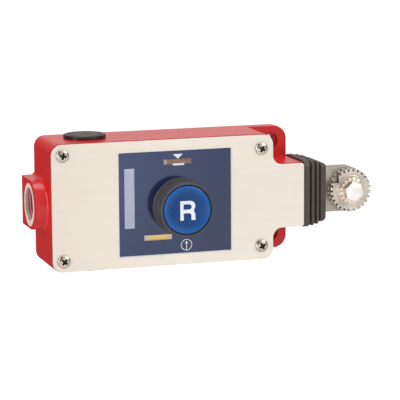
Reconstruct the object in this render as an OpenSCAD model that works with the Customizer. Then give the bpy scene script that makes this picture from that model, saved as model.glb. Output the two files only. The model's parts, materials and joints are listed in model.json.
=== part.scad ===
// Rope pull safety switch: a die-cast housing with a sheet steel cover, a spring-loaded drawbar
// that a rope pulls, a latched contact mechanism and a reset button.
// Frame: X runs along the rope, away from the housing. The front, with the cover, faces -Y.
// Z is up. The origin is the centre of the four mounting holes, on the back face.

/* [Mounting] */
// Spacing of the mounting holes along the rope
hole_dx = 95; // [90:0.5:100]
// Spacing of the mounting holes across the rope
hole_dz = 54; // [52:0.5:56]
// Bore of the mounting holes
mount_d = 6.5; // [5.5:0.1:7]
// Width of the screw seat round each mounting hole
mount_seat_d = 9.4; // [8.5:0.1:10.5]
// Depth of the screw seats in the ears
mount_seat_t = 2.5; // [1.5:0.1:4]

/* [Housing] */
// Length of the housing body along the rope
body_len = 128; // [126:0.5:134]
// Height of the housing body
body_h = 71; // [70:0.5:76]
// Depth of the casting, from the back face to its front rim
cast_depth = 37.2; // [36.8:0.1:40]
// Distance from the right mounting holes back to the body's end wall
wall_behind_holes = 8.7; // [8:0.1:10]
// Thickness of the side walls
wall = 3.5; // [3:0.1:3.9]
// Thickness of the back wall
floor_t = 4; // [3.5:0.1:4.5]
// Outer corner radius of the body
corner_r = 6; // [5:0.1:7]
// Length of the neck beyond the body
neck_len = 18.4; // [17:0.1:20]
// Height of the neck
neck_h = 36.6; // [34:0.1:38]
// Radius of the fillet between body and neck
neck_fillet = 5; // [3:0.1:6]
// Thickness of the two mounting ears
ear_t = 8; // [6:0.1:10]
// Outer corner radius of the ears
ear_r = 7.5; // [5:0.1:8]

/* [Cable entries] */
// How far the cable boss stands out of the end wall
entry_out = 7.2; // [5:0.1:9]
// Half of the cable boss's height
entry_half = 13.7; // [12.8:0.1:14]
// Depth of the cable axes in front of the back face
entry_depth = 17; // [16:0.1:17.5]
// Depth of the cable boss's arc centre in front of the back face
entry_arc_depth = 20; // [18:0.1:21]
// Root diameter of the cable threads
thread_d = 18.376; // [18:0.001:19]
// Length of the cable thread
thread_len = 10; // [8:0.1:10.2]
// Clear bore behind the cable thread
entry_bore_d = 16; // [14:0.1:17]
// Distance from the body's end wall to the plugged side entries
plug_in = 24.9; // [24:0.1:25.2]
// Diameter of the blanking plugs' heads
plug_head_d = 23.6; // [21.5:0.1:24]
// Thickness of the blanking plugs' heads
plug_head_t = 2.1; // [1.6:0.1:2.4]
// Width of the slot in the plugs
plug_slot_w = 1.5; // [1:0.1:2]
// Length of the slot in the plugs
plug_slot_len = 6; // [4:0.1:10]

/* [Cover] */
// Thickness of the cover gasket
gasket_t = 0.5; // [0.3:0.1:0.8]
// Thickness of the cover sheet
cover_t = 1.5; // [1.2:0.1:2]
// How far the cover's edge stands back from the casting
cover_inset = 0.3; // [0.2:0.1:0.8]
// Diameter of the cover screws' heads
cover_head_d = 7.2; // [6.5:0.1:8]
// Height of the cover screws' heads
cover_head_t = 2.2; // [1.8:0.1:2.6]
// Thread diameter of the cover screws
cover_screw_d = 4; // [3:0.1:4.5]
// Length of the cover screws under the head
cover_screw_len = 14; // [10:0.5:18]
// Diameter of the screw pillars in the casting
pillar_d = 10.4; // [9:0.1:11]
// Left screws, distance in from the end wall
left_screw_in = 6.5; // [6:0.1:7]
// Left screws, distance in from the side walls
left_screw_edge = 6.3; // [6:0.1:6.8]
// Right screws, distance in from the end wall
right_screw_in = 7.4; // [7:0.1:8]
// Right screws, distance in from the side walls
right_screw_edge = 8; // [7:0.1:8.5]

/* [Label and windows] */
// Width of the label plate
label_w = 64.9; // [60:0.1:68]
// Height of the label plate
label_h = 58; // [56:0.1:60]
// Distance from the body's left end to the label
label_in = 38.1; // [36:0.1:39]
// Thickness of the label plate
label_t = 0.4; // [0.3:0.1:0.6]
// Length of the indicator windows
window_len = 15.8; // [14:0.1:16]
// Height of the indicator windows
window_h = 2.7; // [2.4:0.1:2.8]
// Centre of the tension window along the rope
tension_x = -17.6; // [-18:0.1:-17]
// Height of the tension window above the middle
tension_z = 22.9; // [22.7:0.1:23.1]
// Centre of the state window along the rope
state_x = -29; // [-29.4:0.1:-28.6]
// Distance of the state window below the middle
state_z = 19; // [18.9:0.1:19.2]

/* [Reset button] */
// Place of the reset button along the rope
reset_x = -16.2; // [-16.6:0.1:-16]
// Height of the reset button's axis
reset_z = -2.1; // [-2.3:0.1:-1.5]
// Travel of the reset button
reset_travel = 4; // [3:0.1:4]
// Wall of the guard at its rim
guard_wall = 1.2; // [0.8:0.1:1.5]
// How much wider the guard is at its foot
guard_flare = 2; // [1:0.1:4]
// Height of the guard over the label
guard_h = 13.9; // [13:0.1:15]
// Thread diameter of the guard's tail
tail_d = 22; // [20:0.1:22]
// Diameter of the round nut behind the cover
ring_nut_d = 26.4; // [25:0.1:26.6]
// Thickness of the round nut
ring_nut_t = 2.8; // [2:0.1:2.8]
// Diameter of the button cap
cap_d = 27; // [26:0.1:30]
// How far the cap stands out past the guard's rim
cap_out = 0.5; // [0.2:0.1:2]
// Diameter of the button's stem
stem_d = 8; // [7.8:0.1:8]

/* [Drawbar] */
// Pull of the drawbar from slack rope to full pull
pull = 16; // [12:0.5:16]
// Diameter of the drawbar's shaft
shaft_d = 10; // [9.6:0.1:10.4]
// Diameter of the shaft's reduced end in the cam slide
shaft_end_d = 8; // [7.6:0.1:8.2]
// Distance from the neck's end to the clamp bolt's axis
bolt_out = 29.9; // [29.5:0.1:34]
// Half of the eye block's height
eye_half = 12.6; // [12.3:0.1:13.5]
// Depth of the eye block, front to back
eye_t = 15.5; // [14.5:0.1:16]
// Radius of the eye block's back edges
eye_back_r = 5.5; // [4:0.1:6]
// Distance of the eye block's front face in front of the shaft's axis
eye_front = 8.9; // [8.6:0.1:9.4]
// Slope of the cam ramps
cam_slope = 0.2; // [0.15:0.01:0.2]

/* [Rope clamp] */
// Diameter of the clamp disc and of the jaw behind it
disc_d = 24.4; // [23:0.1:24.6]
// Width of the rope groove at the clamp's rim
groove_w = 2.8; // [2:0.1:3.4]
// Rim thickness of the clamp disc
disc_rim_t = 2; // [1.6:0.1:2.6]
// Number of notches round the clamp disc
notch_n = 26; // [20:1:30]
// Width of each notch
notch_w = 1.1; // [0.8:0.1:1.3]
// Depth of each notch
notch_depth = 1.3; // [0.8:0.1:1.6]
// Thread diameter of the clamp bolt
clamp_bolt_d = 6; // [5:0.1:6.2]
// Width across flats of the clamp bolt and its nut
clamp_hex = 10; // [9:0.1:10.4]
// Distance from the bolt's axis to the straight side of the rope notch
rope_notch_x = 7.4; // [6.8:0.1:9]
// Height of the rope notch's floor above the bolt's axis
rope_notch_z = 4.6; // [3:0.1:6]
// How far the clamp opens
clamp_open = 3; // [2:0.1:3.4]

/* [Bellows] */
// Height of the bellows' folds
bellows_h = 38.2; // [37:0.1:38.6]
// Depth of the bellows' folds, front to back
bellows_depth = 32; // [31:0.1:34]
// Distance of the bellows' front in front of the shaft's axis
bellows_front = 18.5; // [18:0.1:19]
// Corner radius of the bellows
bellows_r = 3.6; // [3.4:0.1:5]
// Length of the bellows with the rope slack
bellows_len = 14.6; // [14:0.1:15]
// Wall thickness of the bellows' end
bellows_wall = 1.6; // [1.2:0.1:1.8]

/* [Contacts] */
// Length of each contact block along the rope
block_len = 31; // [31:0.1:31.6]
// Place of the contact plungers along the rope
plunger_x = -24; // [-24.2:0.1:-23.8]
// Diameter of the contact plungers
plunger_d = 5; // [4.6:0.1:5.2]
// Thickness of the contact strips
strip_t = 0.8; // [0.6:0.1:0.9]
// Gap between contact tips that touch in use
tip_gap = 0.3; // [0.2:0.05:0.4]
// Height of a contact tip
tip_t = 0.8; // [0.6:0.1:0.9]

/* [Springs] */
// Wire diameter of the main spring
main_wire = 2.4; // [2:0.1:2.6]
// Mean diameter of the main spring's coil
main_coil = 19.6; // [19:0.1:20.4]
// Turns of the main spring
main_turns = 6; // [4:0.5:6]
// Wire diameter of the reset spring
reset_wire = 0.9; // [0.7:0.1:1]
// Turns of the reset spring
reset_turns = 4; // [3:0.5:5]
// Wire diameter of the contact springs
contact_wire = 0.5; // [0.4:0.1:0.6]
// Turns of the contact springs
contact_turns = 4; // [3:0.5:5]

/* [Clearances] */
// Radial clearance of a shaft that slides in a bore
running = 0.06; // [0.03:0.01:0.09]
// Radial clearance of a screw in its tapped hole
thread_gap = 0.05; // [0.02:0.01:0.08]
// Gap between faces that slide past each other
slide_gap = 0.3; // [0.2:0.05:0.3]

/* [Hidden] */
$fn = 72;
eps = 0.01;
// Cuts a fillet's ends off where they would run out to nothing
graze = 0.02;

// Places along the rope
x_right = hole_dx / 2 - wall_behind_holes;
x_left = x_right - body_len;
x_neck = x_right + neck_len;
x_entry = x_left - entry_out;
x_plug = x_left + plug_in;
x_bolt = x_neck + bolt_out;
x_bellows = x_neck + 0.1;
x_eye = x_bellows + bellows_len + slide_gap;

// Levels in front of the back face
y_rim = -cast_depth;
y_inside = y_rim - gasket_t;
y_cover = y_inside - cover_t;
y_label = y_cover - label_t;
y_shaft = y_cover / 2;

// Spigot on the neck, with the bellows over it
hollow_in = 4;
spigot_in = hollow_in + 0.2;
spigot_len = 2;

// Cavity of the body
cavity_x0 = x_left + wall;
cavity_x1 = x_right - wall;
cavity_z = body_h / 2 - wall;
cavity_r = 3;
pillar_spots = [
    for (s = [-1, 1]) [x_left + left_screw_in, s * (body_h / 2 - left_screw_edge)],
    for (s = [-1, 1]) [x_right - right_screw_in, s * (body_h / 2 - right_screw_edge)]
];
mount_pad_t = 3;
mount_pad_r = 7;
earth_clamp_w = 9;
earth_x = x_left + 13;
earth_z = pillar_spots[0][1] + pillar_d / 2 + earth_clamp_w / 2 + 1.5;
earth_pillar_r = 5;
earth_pillar_t = 5;
earth_thread_r = 2;
earth_head_r = 3.5;
earth_head_t = 2.4;
boss_cove = 2.5;
plug_boss_d = 23;
plug_thread_len = 9;
plug_seal_d = 1;
plug_seal_ring = 20.2;

// Reset button
cap_front = y_label - guard_h - cap_out;
guard_floor_t = 2.2;
guard_bore_r = cap_d / 2 + slide_gap;
guard_rim_r = guard_bore_r + guard_wall;
guard_foot_r = guard_rim_r + guard_flare / 2;
tail_back = y_inside + 3.1;
collar_d = stem_d + 3;
collar_t = 1.2;
stem_tip = tail_back + 3.1;
stem_tip_r = 1.5;
latch_ratio = 0.75;
cap_t = 2.2;
cap_skirt = guard_h + cap_out - guard_floor_t - reset_travel - slide_gap;
cap_skirt_t = 1.8;
cap_boss_r = stem_d / 2 + 1.2;
cap_socket = 4;
reset_coil = cap_boss_r * 2 + 2.2;

// Latch and state flag
latch_travel = reset_travel * latch_ratio;
latch_w = 8;
latch_wide = 12;
latch_under = 2.9;
latch_low = reset_z - stem_d / 2 - latch_under;
latch_front = tail_back + 0.5;
latch_back = stem_tip + reset_travel + 1.1;
latch_plate_h = 4.4;
latch_arm_w = 4.5;
latch_tooth_w = 4;
latch_tooth_h = 3;
latch_tooth_t = 2;
latch_gap = slide_gap + 0.5;
latch_head_gap = 3.5;
state_tab_h = 7.2;
flag_t = 0.6;
arm_t = 0.8;
lens_flange_t = 1;
lens_lip = 1.5;
lens_gap = 0.1;
y_flag = y_inside + lens_flange_t + slide_gap;
y_arm = y_flag + flag_t;

// Contact blocks
block_x0 = plunger_x - block_len / 2;
block_x1 = plunger_x + block_len / 2;
block_out = cavity_z - 0.5;
block_front = y_inside + 5.7;
chamber_half = 9;
chamber_z1 = block_out - 2;
block_in = latch_travel + slide_gap - latch_low;
chamber_z0 = block_in + 1.7;
chamber_back = y_shaft + 5;
guide_tube_r = plunger_d / 2 + 2;
guide_tube_top = chamber_z0 + 3.4;
strip_z = guide_tube_top + 0.6;
strip_h = 6.4;
strip_half_w = 3.5;
rivet_r = 1.8;
rivet_off = 5;
terminal_off = 12.2;
terminal_z = chamber_z0 + strip_h / 2;
block_screw_z = block_out - 3.3;
block_screw_dx = block_len / 2 - 3.3;
block_screw_r = 1.5;
terminal_screw_r = 1.7;
terminal_head_r = 3;
terminal_head_t = 1.6;
block_head_r = 2.75;
block_head_t = 1.8;
screw_depth = 8;
guide_t = 1.2;
guide_foot_h = 5.6;
guide_stem_w = 11;
guide_w = 19;
shoulder_z = strip_z + strip_t + tip_t + tip_gap + tip_t;
bridge_t = 1;
bridge_len = 14;
bridge_w = 5.2;
plunger_tip_r = plunger_d / 2;
plunger_stem_r = 1.6;
plunger_head_gap = 0.4;
contact_coil = 4.6;
plunger_lift = pull * cam_slope;

// Cam slide and shaft
cam_x0 = plunger_x - pull - 4;
cam_x1 = plunger_x + 10;
cam_foot = plunger_x + 2;
cam_low = block_in - 5.8;
cam_y = latch_back + latch_gap;
cam_half_t = y_shaft - cam_y;
rebate_t = 1.5;
rebate_gap = 0.3;
rail_end = cam_x1 + 5;
rail_z = 2.8;
rail_w = 3;
cam_pin_x = cam_x1 - 4;
cam_pin_r = 1.3;
cam_seat_len = 12;
shaft_end_x = cam_x1 - cam_seat_len;
ring_x = cam_x1 + 7;
ring_t = 1;
ring_r = shaft_d / 2 + 2;
ring_mouth = 6;
groove_depth = 0.8;
arm_x = ring_x + ring_t;
arm_plate_t = 1.5;
arm_hub_r = shaft_d / 2 + 3.5;
arm_w = 8;
arm_tab_half = 1.1;
arm_foot = 3;
flag_margin = 0.6;
tension_tab_half = 1.6;
plate_x = arm_x + arm_plate_t;
plate_t = 2;
plate_r = 12.5;
plate_hub_r = 7.4;
plate_hub_len = 6;
bush_flange_t = 2;
bush_flange_r = 11;
bush_r = 8;
bush_len = 14;
seal_len = 6;

// Rope clamp
y_eye = y_shaft - eye_front;
jaw_flat_r = 6.5;
jaw_rise = 2.3;
y_jaw = y_eye - jaw_rise;
cone_rise = 1.3;
disc_gap = 0.2;
disc_back = y_jaw - disc_gap;
disc_front = disc_back - (groove_w - disc_gap) / 2 - disc_rim_t;
disc_hub_r = 8.8;
disc_hub_t = 0.7;
washer_r = 7.5;
washer_t = 1.2;
washer_n = 16;
washer_tooth = 1;
washer_slot = 0.9;
bolt_seat = disc_front - disc_hub_t - washer_t;
bolt_head_t = 4;
nut_t = 5;

// Rounded rectangle between two corners
module round_rect(x0, x1, y0, y1, r) {
    translate([x0 + r, y0]) square([x1 - x0 - 2 * r, y1 - y0]);
    translate([x0, y0 + r]) square([x1 - x0, y1 - y0 - 2 * r]);
    for (x = [x0 + r, x1 - r], y = [y0 + r, y1 - r]) translate([x, y]) circle(r);
}

// Rounded rectangle about the origin
module pill(w, h, r) round_rect(-w / 2, w / 2, -h / 2, h / 2, r);

// Extrudes an X-Z outline between two levels, front < back
module plate(front, back) translate([0, back, 0]) rotate([90, 0, 0])
    linear_extrude(back - front) children();

// Extrudes a Y-Z outline along X
module along_x(x0, x1) translate([x0, 0, 0]) rotate([90, 0, 90])
    linear_extrude(x1 - x0) children();

module rod_x(r, x0, x1) translate([x0, 0, 0]) rotate([0, 90, 0]) cylinder(r = r, h = x1 - x0);
module rod_y(r, front, back) translate([0, back, 0]) rotate([90, 0, 0]) cylinder(r = r, h = back - front);
module rod_z(r, z0, z1) translate([0, 0, z0]) cylinder(r = r, h = z1 - z0);

// Hexagon along Y, from its width across flats
module hex_y(flats, front, back) translate([0, back, 0]) rotate([90, 0, 0])
    cylinder(d = flats / cos(30), h = back - front, $fn = 6);

// Turned shape about the Y axis from a [radius, y] outline
module turned_y(points) rotate([-90, 0, 0]) rotate_extrude() polygon(points);

module at_reset() translate([reset_x, 0, reset_z]) children();
module at_bolt() translate([x_bolt, 0, 0]) children();
module at_shaft() translate([0, y_shaft, 0]) children();
module at_earth() translate([earth_x, 0, earth_z]) children();
module at_block_screws() for (x = [-1, 1], z = [-1, 1])
    translate([plunger_x + x * block_screw_dx, 0, z * block_screw_z]) children();
module at_pillars() for (p = pillar_spots) translate([p[0], 0, p[1]]) children();

// Coil spring about the Z axis, standing on z = 0
module coil(wire, mean_d, turns, len, sides = 8, steps = 20) {
    n = round(turns * steps);
    rise = len - wire;
    at = function(i) [cos(360 * i / steps), sin(360 * i / steps)];
    points = [
        for (i = [0:n], j = [0:sides - 1])
            let (u = at(i), r = mean_d / 2 + wire / 2 * cos(360 * j / sides))
            [r * u[0], r * u[1], wire / 2 + rise * i / n + wire / 2 * sin(360 * j / sides)]
    ];
    walls = [
        for (i = [0:n - 1], j = [0:sides - 1])
            let (a = i * sides + j, b = i * sides + (j + 1) % sides)
            each [[b + sides, b, a], [a + sides, b + sides, a]]
    ];
    ends = [[for (j = [0:sides - 1]) j], [for (j = [sides - 1:-1:0]) n * sides + j]];
    polyhedron(points, concat(walls, ends));
}

// Front outline of body and neck, set in by a margin
module body_shape(inset = 0) {
    z = body_h / 2 - inset;
    neck_z = neck_h / 2 - inset;
    fillet = neck_fillet + inset;
    end = x_right - inset;
    round_rect(x_left + inset, end, -z, z, corner_r - inset);
    round_rect(end - corner_r * 2, x_neck - inset, -neck_z, neck_z, 1.5);
    for (s = [-1, 1]) difference() {
        translate([end - 1, s > 0 ? neck_z - 1 : -neck_z - fillet]) square(fillet + 1);
        translate([end + fillet, s * (neck_z + fillet)]) circle(fillet + graze);
    }
}

// Opening of the casting's front
module cavity_shape(grow = 0)
    round_rect(cavity_x0 - grow, cavity_x1 + grow, -cavity_z - grow, cavity_z + grow, cavity_r + grow);

module screw_holes(r) for (p = pillar_spots) translate(p) circle(r);

// Fillet profile between a boss and the wall that it stands on
module cove(r) difference() {
    square(r);
    translate([r, r]) circle(r + graze);
}

// Cable boss: flat towards the back, round towards the front
module entry_boss() {
    arc_y = -entry_arc_depth;
    along_x(x_entry, x_left + wall) {
        translate([arc_y, -entry_half]) square([entry_arc_depth, entry_half * 2]);
        translate([arc_y, 0]) circle(entry_half);
    }
    for (s = [0, 1]) mirror([0, 0, s]) translate([x_left + eps, 0, entry_half - eps])
        rotate([90, 0, 0]) linear_extrude(entry_arc_depth) mirror([1, 0]) cove(boss_cove);
    translate([x_left + eps, arc_y, 0]) rotate([0, -90, 0]) rotate([0, 0, 180])
        rotate_extrude(angle = 180, start = 0) translate([entry_half - eps, 0]) cove(boss_cove);
}

module housing() color("firebrick") difference() {
    union() {
        difference() {
            union() {
                plate(y_rim, 0) body_shape();
                plate(-ear_t, 0)
                    round_rect(x_right - corner_r * 3, x_neck, -body_h / 2, body_h / 2, ear_r);
                entry_boss();
                // Spigot that holds the bellows
                at_shaft() fold(x_neck - 1, x_neck + spigot_len, spigot_in);
            }
            plate(y_rim - 1, -floor_t) cavity_shape();
        }
        intersection() {
            union() {
                at_pillars() rod_y(pillar_d / 2, y_rim, -1);
                for (s = [-1, 1]) mirror([0, 0, s < 0 ? 1 : 0]) {
                    translate([x_plug, -entry_depth, 0])
                        rod_z(plug_boss_d / 2, body_h / 2 - plug_thread_len, body_h / 2 - 1);
                    translate([-hole_dx / 2, 0, hole_dz / 2])
                        rod_y(mount_pad_r, -floor_t - mount_pad_t, -1);
                    // Rails under the cam slide
                    rail_y = y_shaft + cam_half_t + slide_gap;
                    translate([cam_x0 - 2, rail_y, rail_z])
                        cube([rail_end - cam_x0 + 2, -1 - rail_y, rail_w]);
                }
                // Pillar for the earth screw
                at_earth() rod_y(earth_pillar_r, -floor_t - earth_pillar_t, -1);
            }
            plate(y_rim, 0) body_shape();
        }
    }
    for (x = [-1, 1], z = [-1, 1]) translate([x * hole_dx / 2, 0, z * hole_dz / 2]) {
        rod_y(mount_d / 2, -floor_t - ear_t, 1);
        if (x > 0) rod_y(mount_seat_d / 2, -ear_t - 1, -ear_t + mount_seat_t);
    }
    at_pillars() rod_y(cover_screw_d / 2 + thread_gap, y_rim - 1, y_cover + cover_screw_len + 2);
    translate([0, -entry_depth, 0]) {
        rod_x(thread_d / 2, x_entry - 1, x_entry + thread_len);
        rod_x(entry_bore_d / 2, x_entry, cavity_x0 + 1);
        for (s = [0, 1]) mirror([0, 0, s]) translate([x_plug, 0, 0])
            rod_z(thread_d / 2, cavity_z - plug_thread_len, body_h);
    }
    at_shaft() rod_x(bush_r + thread_gap, cavity_x1 - 1, x_neck + 3);
    at_block_screws() rod_y(block_screw_r + thread_gap, -floor_t - 1, -1.2);
    at_earth() rod_y(earth_thread_r + thread_gap, -floor_t - earth_pillar_t - 1, -2);
}

module cover_gasket() color("dimgray") difference() {
    plate(y_inside, y_rim) difference() {
        body_shape(cover_inset + 0.5);
        difference() {
            cavity_shape(-0.4);
            for (p = pillar_spots) translate(p) circle(pillar_d / 2);
        }
        screw_holes(cover_screw_d / 2 + 0.2);
    }
}

module window_cut(grow = 0) {
    for (w = [[tension_x, tension_z], [state_x, -state_z]])
        translate([w[0], w[1]]) square([window_len + 2 * grow, window_h + 2 * grow], center = true);
}

module front_cover() color("bisque") plate(y_cover, y_inside) difference() {
    body_shape(cover_inset);
    screw_holes(cover_screw_d / 2 + 0.2);
    translate([reset_x, reset_z]) circle(tail_d / 2 + 0.2);
    window_cut(lens_gap);
}

module cover_screws() color("lightgray") at_pillars() {
    turned_y([
        [0, y_cover - cover_head_t], [cover_head_d * 0.3, y_cover - cover_head_t * 0.86],
        [cover_head_d / 2, y_cover - cover_head_t * 0.35], [cover_head_d / 2, y_cover], [0, y_cover]
    ]);
    rod_y(cover_screw_d / 2, y_cover - eps, y_cover + cover_screw_len);
}

module label_plate() color("slategray") plate(y_label, y_cover) difference() {
    translate([x_left + label_in + label_w / 2, 0]) pill(label_w, label_h, 0.6);
    translate([reset_x, reset_z]) circle(tail_d / 2 + 0.2);
    window_cut(lens_gap);
}

module window_lenses() color("lightcyan") {
    plate(y_label + 0.1, y_inside + eps) window_cut();
    plate(y_inside, y_inside + lens_flange_t) window_cut(lens_lip);
}

module plug_solid() {
    top = body_h / 2 + plug_head_t;
    ring = plug_seal_ring / 2;
    difference() {
        union() {
            rotate_extrude() polygon([
                [0, body_h / 2], [plug_head_d / 2, body_h / 2], [plug_head_d / 2, top - 0.5],
                [plug_head_d / 2 - 0.5, top], [ring - 1, top], [ring - 1.2, top - 0.3],
                [ring - 1.6, top - 0.3], [ring - 1.8, top], [0, top]
            ]);
            rod_z(thread_d / 2 - thread_gap, body_h / 2 - plug_thread_len + 1, body_h / 2 + eps);
        }
        rod_z(7, body_h / 2 - plug_thread_len, body_h / 2 - 0.4);
        translate([0, 0, body_h / 2 - eps]) rotate_extrude()
            translate([ring - plug_seal_d / 2, 0]) square(plug_seal_d);
        translate([-plug_slot_len / 2, -plug_slot_w / 2, top - 1]) cube([plug_slot_len, plug_slot_w, 2]);
    }
}

module top_plug() color("saddlebrown") translate([x_plug, -entry_depth, 0]) plug_solid();

module bottom_plug() color("saddlebrown") mirror([0, 0, 1])
    translate([x_plug, -entry_depth, 0]) plug_solid();

module plug_seals() color("black") for (s = [0, 1]) mirror([0, 0, s])
    translate([x_plug, -entry_depth, body_h / 2 + plug_seal_d / 2]) rotate_extrude()
        translate([plug_seal_ring / 2, 0]) circle(plug_seal_d / 2 - 0.02);

module shaft_bush() color("peru") at_shaft() difference() {
    union() {
        rod_x(bush_flange_r, cavity_x1 - bush_flange_t, cavity_x1);
        rod_x(bush_r, cavity_x1 - eps, cavity_x1 + bush_len);
    }
    rod_x(shaft_d / 2 + running, cavity_x1 - bush_flange_t - 1, cavity_x1 + bush_len + 1);
}

module wiper_seal() color("black") at_shaft() difference() {
    rod_x(bush_r, x_neck - seal_len, x_neck - 0.2);
    rod_x(shaft_d / 2 + running, x_neck - seal_len - 1, x_neck + 1);
    rod_x(shaft_d / 2 + 1.4, x_neck - seal_len + 1.2, x_neck - 1.6);
}

module earth_clamp() color("gold") at_earth() difference() {
    top = -floor_t - earth_pillar_t;
    plate(top - 1, top) square(earth_clamp_w, center = true);
    rod_y(earth_thread_r + 0.2, top - 2, top + 1);
}

module earth_screw() color("silver") at_earth() {
    seat = -floor_t - earth_pillar_t - 1;
    rod_y(earth_head_r, seat - earth_head_t, seat);
    rod_y(earth_thread_r, seat - eps, -3);
}

// Tapered guard sleeve with the threaded tail that goes through the cover
module button_guard() color("dimgray") at_reset() difference() {
    rim = y_label - guard_h;
    pit = y_label - guard_floor_t;
    stem_bore_r = stem_d / 2 + running;
    collar_bore_r = collar_d / 2 + running;
    turned_y([
        [stem_bore_r, pit], [guard_bore_r, pit], [guard_bore_r, rim + 0.4], [guard_bore_r + 0.3, rim],
        [guard_rim_r - 0.4, rim], [guard_rim_r, rim + 0.5], [guard_foot_r - 0.5, y_label - 1.5],
        [guard_foot_r, y_label - 0.8], [guard_foot_r, y_label], [tail_d / 2, y_label],
        [tail_d / 2, tail_back], [collar_bore_r, tail_back], [collar_bore_r, y_cover], [stem_bore_r, y_cover]
    ]);
}

module ring_nut() color("gray") at_reset() difference() {
    slot = 3;
    rod_y(ring_nut_d / 2, y_inside, y_inside + ring_nut_t);
    rod_y(tail_d / 2 + thread_gap, y_inside - 1, y_inside + ring_nut_t + 1);
    for (a = [0:60:359]) rotate([0, a, 0]) translate([ring_nut_d / 2 - 1.2, y_inside - 1, -slot / 2])
        cube([slot, ring_nut_t + 2, slot]);
}

module reset_cap() color("royalblue") at_reset() {
    back = cap_front + cap_skirt;
    inner = cap_front + cap_t;
    turned_y([
        [0, cap_front + 1], [cap_d * 0.28, cap_front + 0.75], [cap_d * 0.4, cap_front + 0.25],
        [cap_d * 0.45, cap_front], [cap_d / 2 - 0.3, cap_front + 0.25], [cap_d / 2, cap_front + 0.9],
        [cap_d / 2, back], [cap_d / 2 - cap_skirt_t, back], [cap_d / 2 - cap_skirt_t, inner],
        [cap_boss_r, inner], [cap_boss_r, inner + cap_socket], [stem_d / 2, inner + cap_socket],
        [stem_d / 2, inner], [0, inner]
    ]);
}

// Stem with a stop collar and a tapered tip that drives the latch
module reset_stem() color("silver") at_reset() {
    stop = y_cover + 0.1;
    taper = (stem_d / 2 - stem_tip_r) / latch_ratio;
    turned_y([
        [0, cap_front + cap_t], [stem_d / 2, cap_front + cap_t], [stem_d / 2, stop], [collar_d / 2, stop],
        [collar_d / 2, stop + collar_t], [stem_d / 2, stop + collar_t], [stem_d / 2, stem_tip - taper],
        [stem_tip_r, stem_tip], [0, stem_tip]
    ]);
}

module reset_spring() color("silver") at_reset() {
    foot = y_label - guard_floor_t - 0.1;
    translate([0, foot, 0]) rotate([90, 0, 0])
        coil(reset_wire, reset_coil, reset_turns, foot - (cap_front + cap_t) - 0.1, 6);
}

// Sheet across both contact blocks that guides the latch
module guide_plate() color("silver") difference() {
    slot_x = latch_w / 2 + slide_gap;
    slot_z0 = latch_low - latch_travel - slide_gap;
    slot_z1 = reset_z + stem_d / 2 + latch_head_gap;
    plate(block_front - guide_t, block_front) difference() {
        union() {
            for (s = [-1, 1]) translate([plunger_x, s * block_screw_z])
                square([block_len - 1, guide_foot_h], center = true);
            translate([plunger_x, 0]) square([guide_stem_w, block_screw_z * 2], center = true);
            translate([reset_x, 0]) square([guide_w, (chamber_z0 - slide_gap) * 2], center = true);
        }
        translate([reset_x - slot_x, slot_z0]) square([slot_x * 2, slot_z1 - slot_z0]);
    }
    at_block_screws() rod_y(block_screw_r + 0.2, block_front - 2, block_front + 1);
}

// Slide with a wedge face; its tooth runs in the rebate of the cam slide
module latch_slide() color("orange") {
    tip_z = reset_z - stem_tip_r - 0.1;
    face = [tip_z - latch_ratio * (stem_tip - latch_front), tip_z + latch_ratio * reset_travel];
    back = latch_back;
    front_y = block_front - guide_t - slide_gap;
    back_y = block_front + slide_gap;
    flange_t = front_y - latch_front;
    wide = latch_wide / 2;
    translate([reset_x, 0, 0]) {
        along_x(-latch_w / 2, latch_w / 2) polygon([
            [latch_front, latch_low], [latch_front, face[0]], [stem_tip + reset_travel, face[1]],
            [back, face[1]], [back, latch_low]
        ]);
        translate([-wide, back_y, latch_low]) cube([latch_wide, back - back_y, latch_plate_h]);
        translate([-latch_tooth_w / 2, back - eps, latch_low + latch_tooth_h])
            cube([latch_tooth_w, latch_tooth_t, latch_tooth_h]);
    }
    // Arm that carries the state flag
    arm_x0 = state_x - 1.2;
    arm_z0 = -state_z - window_h;
    translate([arm_x0, latch_front, latch_low])
        cube([reset_x + wide - arm_x0, flange_t, face[0] - latch_low]);
    translate([arm_x0, latch_front, arm_z0]) cube([latch_arm_w, flange_t, latch_low - arm_z0 + 1]);
    translate([arm_x0, y_arm, arm_z0]) cube([latch_arm_w, front_y - y_arm, state_tab_h - 1.2]);
    state_tab(y_arm, arm_t);
}

module state_tab(front, t)
    translate([state_x - window_len / 2 - 0.5, front, -state_z - window_h])
        cube([window_len + 1, t, state_tab_h]);

module state_flag() color("gold") state_tab(y_flag, flag_t);

// Moulded block for one pair of contacts, above the cam slide
module contact_block() difference() {
    union() {
        difference() {
            translate([block_x0, block_front, block_in])
                cube([block_len, -floor_t - block_front, block_out - block_in]);
            translate([plunger_x - chamber_half, block_front - 1, chamber_z0])
                cube([chamber_half * 2, chamber_back - block_front + 1, chamber_z1 - chamber_z0]);
        }
        translate([plunger_x, y_shaft, 0]) rod_z(guide_tube_r, block_in, guide_tube_top);
    }
    translate([plunger_x, y_shaft, 0]) rod_z(plunger_d / 2 + running, block_in - 1, guide_tube_top + 1);
    for (s = [-1, 1]) {
        translate([plunger_x + s * terminal_off, 0, terminal_z])
            rod_y(terminal_screw_r + thread_gap, block_front - 1, block_front + screw_depth + 1);
        translate([plunger_x + s * block_screw_dx, 0, block_screw_z])
            rod_y(block_screw_r + 0.1, block_front - 1, 1);
    }
}

module upper_contact_block() color("ivory") contact_block();

module lower_contact_block() color("ivory") mirror([0, 0, 1]) contact_block();

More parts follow.
